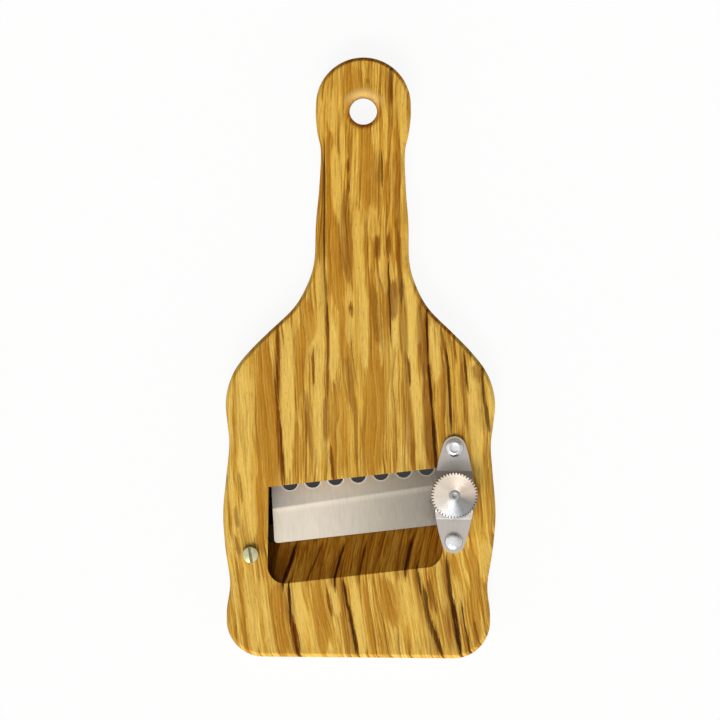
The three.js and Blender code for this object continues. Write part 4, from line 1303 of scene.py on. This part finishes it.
# Corners of the dark card under the mouth, painted shade that glows faint grey for the camera, and
# the x in millimetres where it stops being black
THROAT_SHADE_CARD = [(-0.046, -0.084), (0.05, -0.076), (0.05, -0.044), (-0.046, -0.052)]
CARD_LIT_FROM = -38
# The window light: where it stands, its strength, its colour and how wide it looks
KEY_DIRECTION, KEY_STRENGTH = (-0.15, -0.62, 0.77), 1.2
KEY_COLOUR, KEY_SPREAD = (1, 0.985, 0.96), 20
# The camera looks straight down through a long lens
CAMERA_PLACE, CAMERA_TURN = (-0.38 * MM, -1.09 * MM, 1.312), 0.557
LENS, SENSOR = 150, 36


class SLICER_OT_stage(bpy.types.Operator):
    """Lay the floor, hang the light and set the camera"""
    bl_idname = "slicer.stage"
    bl_label = "Stage"

    def execute(self, context):
        scene = context.scene
        floor = bmesh.new()
        bmesh.ops.create_grid(floor, x_segments=1, y_segments=1, size=4)
        bmesh.ops.translate(floor, verts=floor.verts, vec=(0, 0, FLOOR_LEVEL))
        staged("floor", floor, backdrop_surface("floor_white", colour=0.9, lost=0.6, glow=0.92))
        # The card is painted shade under the mouth: black at the window's left end and a faint grey
        # glow under the gullets
        card = bmesh.new()
        flat(card, THROAT_SHADE_CARD, CARD_LEVEL)
        staged("throat_shade_card", card, backdrop_surface(
            "card_painted_shade", colour=0.03, lost=0, glow=0.9, shine=0.05, lit_from=CARD_LIT_FROM,
        ))

        world = bpy.data.worlds.new("studio")
        scene.world = world
        nodes = Nodes(world)
        way = nodes.node("TexCoord", {}, {}, "Generated")
        x, y = (nodes.node("SeparateXYZ", {}, {0: way}, axis) for axis in range(2))
        sky = nodes.smooth(y + x * 0.1, 0.66, 0.16) * 0.66 + 0.34
        shaded = 1 - nodes.smooth(x, -0.05, 0.4) * 0.3
        tint = nodes.blend(nodes.smooth(y, 0.25, -0.35), (1.0, 0.96, 0.9), (0.95, 0.97, 1.0))
        shown = nodes.node("Background", {}, {"Color": tint, "Strength": sky * shaded})
        wide = nodes.smooth(y, -0.05, -0.55) * 1.9 + 0.08
        warm = nodes.blend(nodes.smooth(y, 0, -0.4), (1, 0.82, 0.6), (1, 1, 1))
        fill = nodes.node("Background", {}, {"Color": warm, "Strength": wide})
        white = nodes.node("Background", {}, {"Color": (1, 1, 1), "Strength": 1})
        unlit = nodes.node("MixShader", {}, {0: nodes.ray("Glossy"), 1: fill, 2: shown})
        clear = nodes.maximum(nodes.ray("Camera"), nodes.ray("Transmission"))
        both = nodes.node("MixShader", {}, {0: clear, 1: unlit, 2: white})
        nodes.node("OutputWorld", {}, {"Surface": both})

        key = bpy.data.lights.new("key", "SUN")
        key.energy = KEY_STRENGTH
        key.color = KEY_COLOUR
        key.angle = math.radians(KEY_SPREAD)
        sun = bpy.data.objects.new("key", key)
        sun.rotation_euler = Vector(KEY_DIRECTION).to_track_quat("Z", "Y").to_euler()
        scene.collection.objects.link(sun)

        camera = bpy.data.cameras.new("camera")
        camera.lens = LENS
        camera.sensor_width = SENSOR
        camera.clip_start = 0.01
        camera.clip_end = 50
        view = bpy.data.objects.new("camera", camera)
        view.location = CAMERA_PLACE
        view.rotation_euler = (0, 0, math.radians(CAMERA_TURN))
        scene.collection.objects.link(view)
        scene.camera = view
        scene.view_settings.view_transform = "Standard"
        return {"FINISHED"}


STEPS = (
    SLICER_OT_board, SLICER_OT_blade, SLICER_OT_bridge, SLICER_OT_rivets, SLICER_OT_pivot,
    SLICER_OT_knob, SLICER_OT_bushes, SLICER_OT_stage,
)
SETTINGS = {
    "slicer_board": BoardSizes,
    "slicer_blade": BladeSizes,
    "slicer_hardware": HardwareSizes,
    "slicer_finishes": Finishes,
}


class SLICER_PT_panel(bpy.types.Panel):
    """The slicer's pieces in the order in which they are made"""
    bl_idname = "SLICER_PT_panel"
    bl_label = "Truffle slicer"
    bl_space_type = "VIEW_3D"
    bl_region_type = "UI"
    bl_category = "Slicer"

    def draw(self, context):
        for step in STEPS:
            self.layout.operator(step.bl_idname)
        for name, group in SETTINGS.items():
            box = self.layout.box()
            settings = getattr(context.scene, name)
            for field in group.__annotations__:
                box.prop(settings, field)


def register():
    for group in SETTINGS.values():
        bpy.utils.register_class(group)
    for name, group in SETTINGS.items():
        setattr(bpy.types.Scene, name, PointerProperty(type=group))
    for step in STEPS:
        bpy.utils.register_class(step)
    bpy.utils.register_class(SLICER_PT_panel)


def unregister():
    bpy.utils.unregister_class(SLICER_PT_panel)
    for step in reversed(STEPS):
        bpy.utils.unregister_class(step)
    for name in SETTINGS:
        delattr(bpy.types.Scene, name)
    for group in SETTINGS.values():
        bpy.utils.unregister_class(group)


def main():
    register()
    bpy.ops.slicer.board()
    bpy.ops.slicer.blade()
    bpy.ops.slicer.bridge()
    bpy.ops.slicer.rivets()
    bpy.ops.slicer.pivot()
    bpy.ops.slicer.knob()
    bpy.ops.slicer.bushes()
    bpy.ops.slicer.stage()


if __name__ == "__main__":
    main()
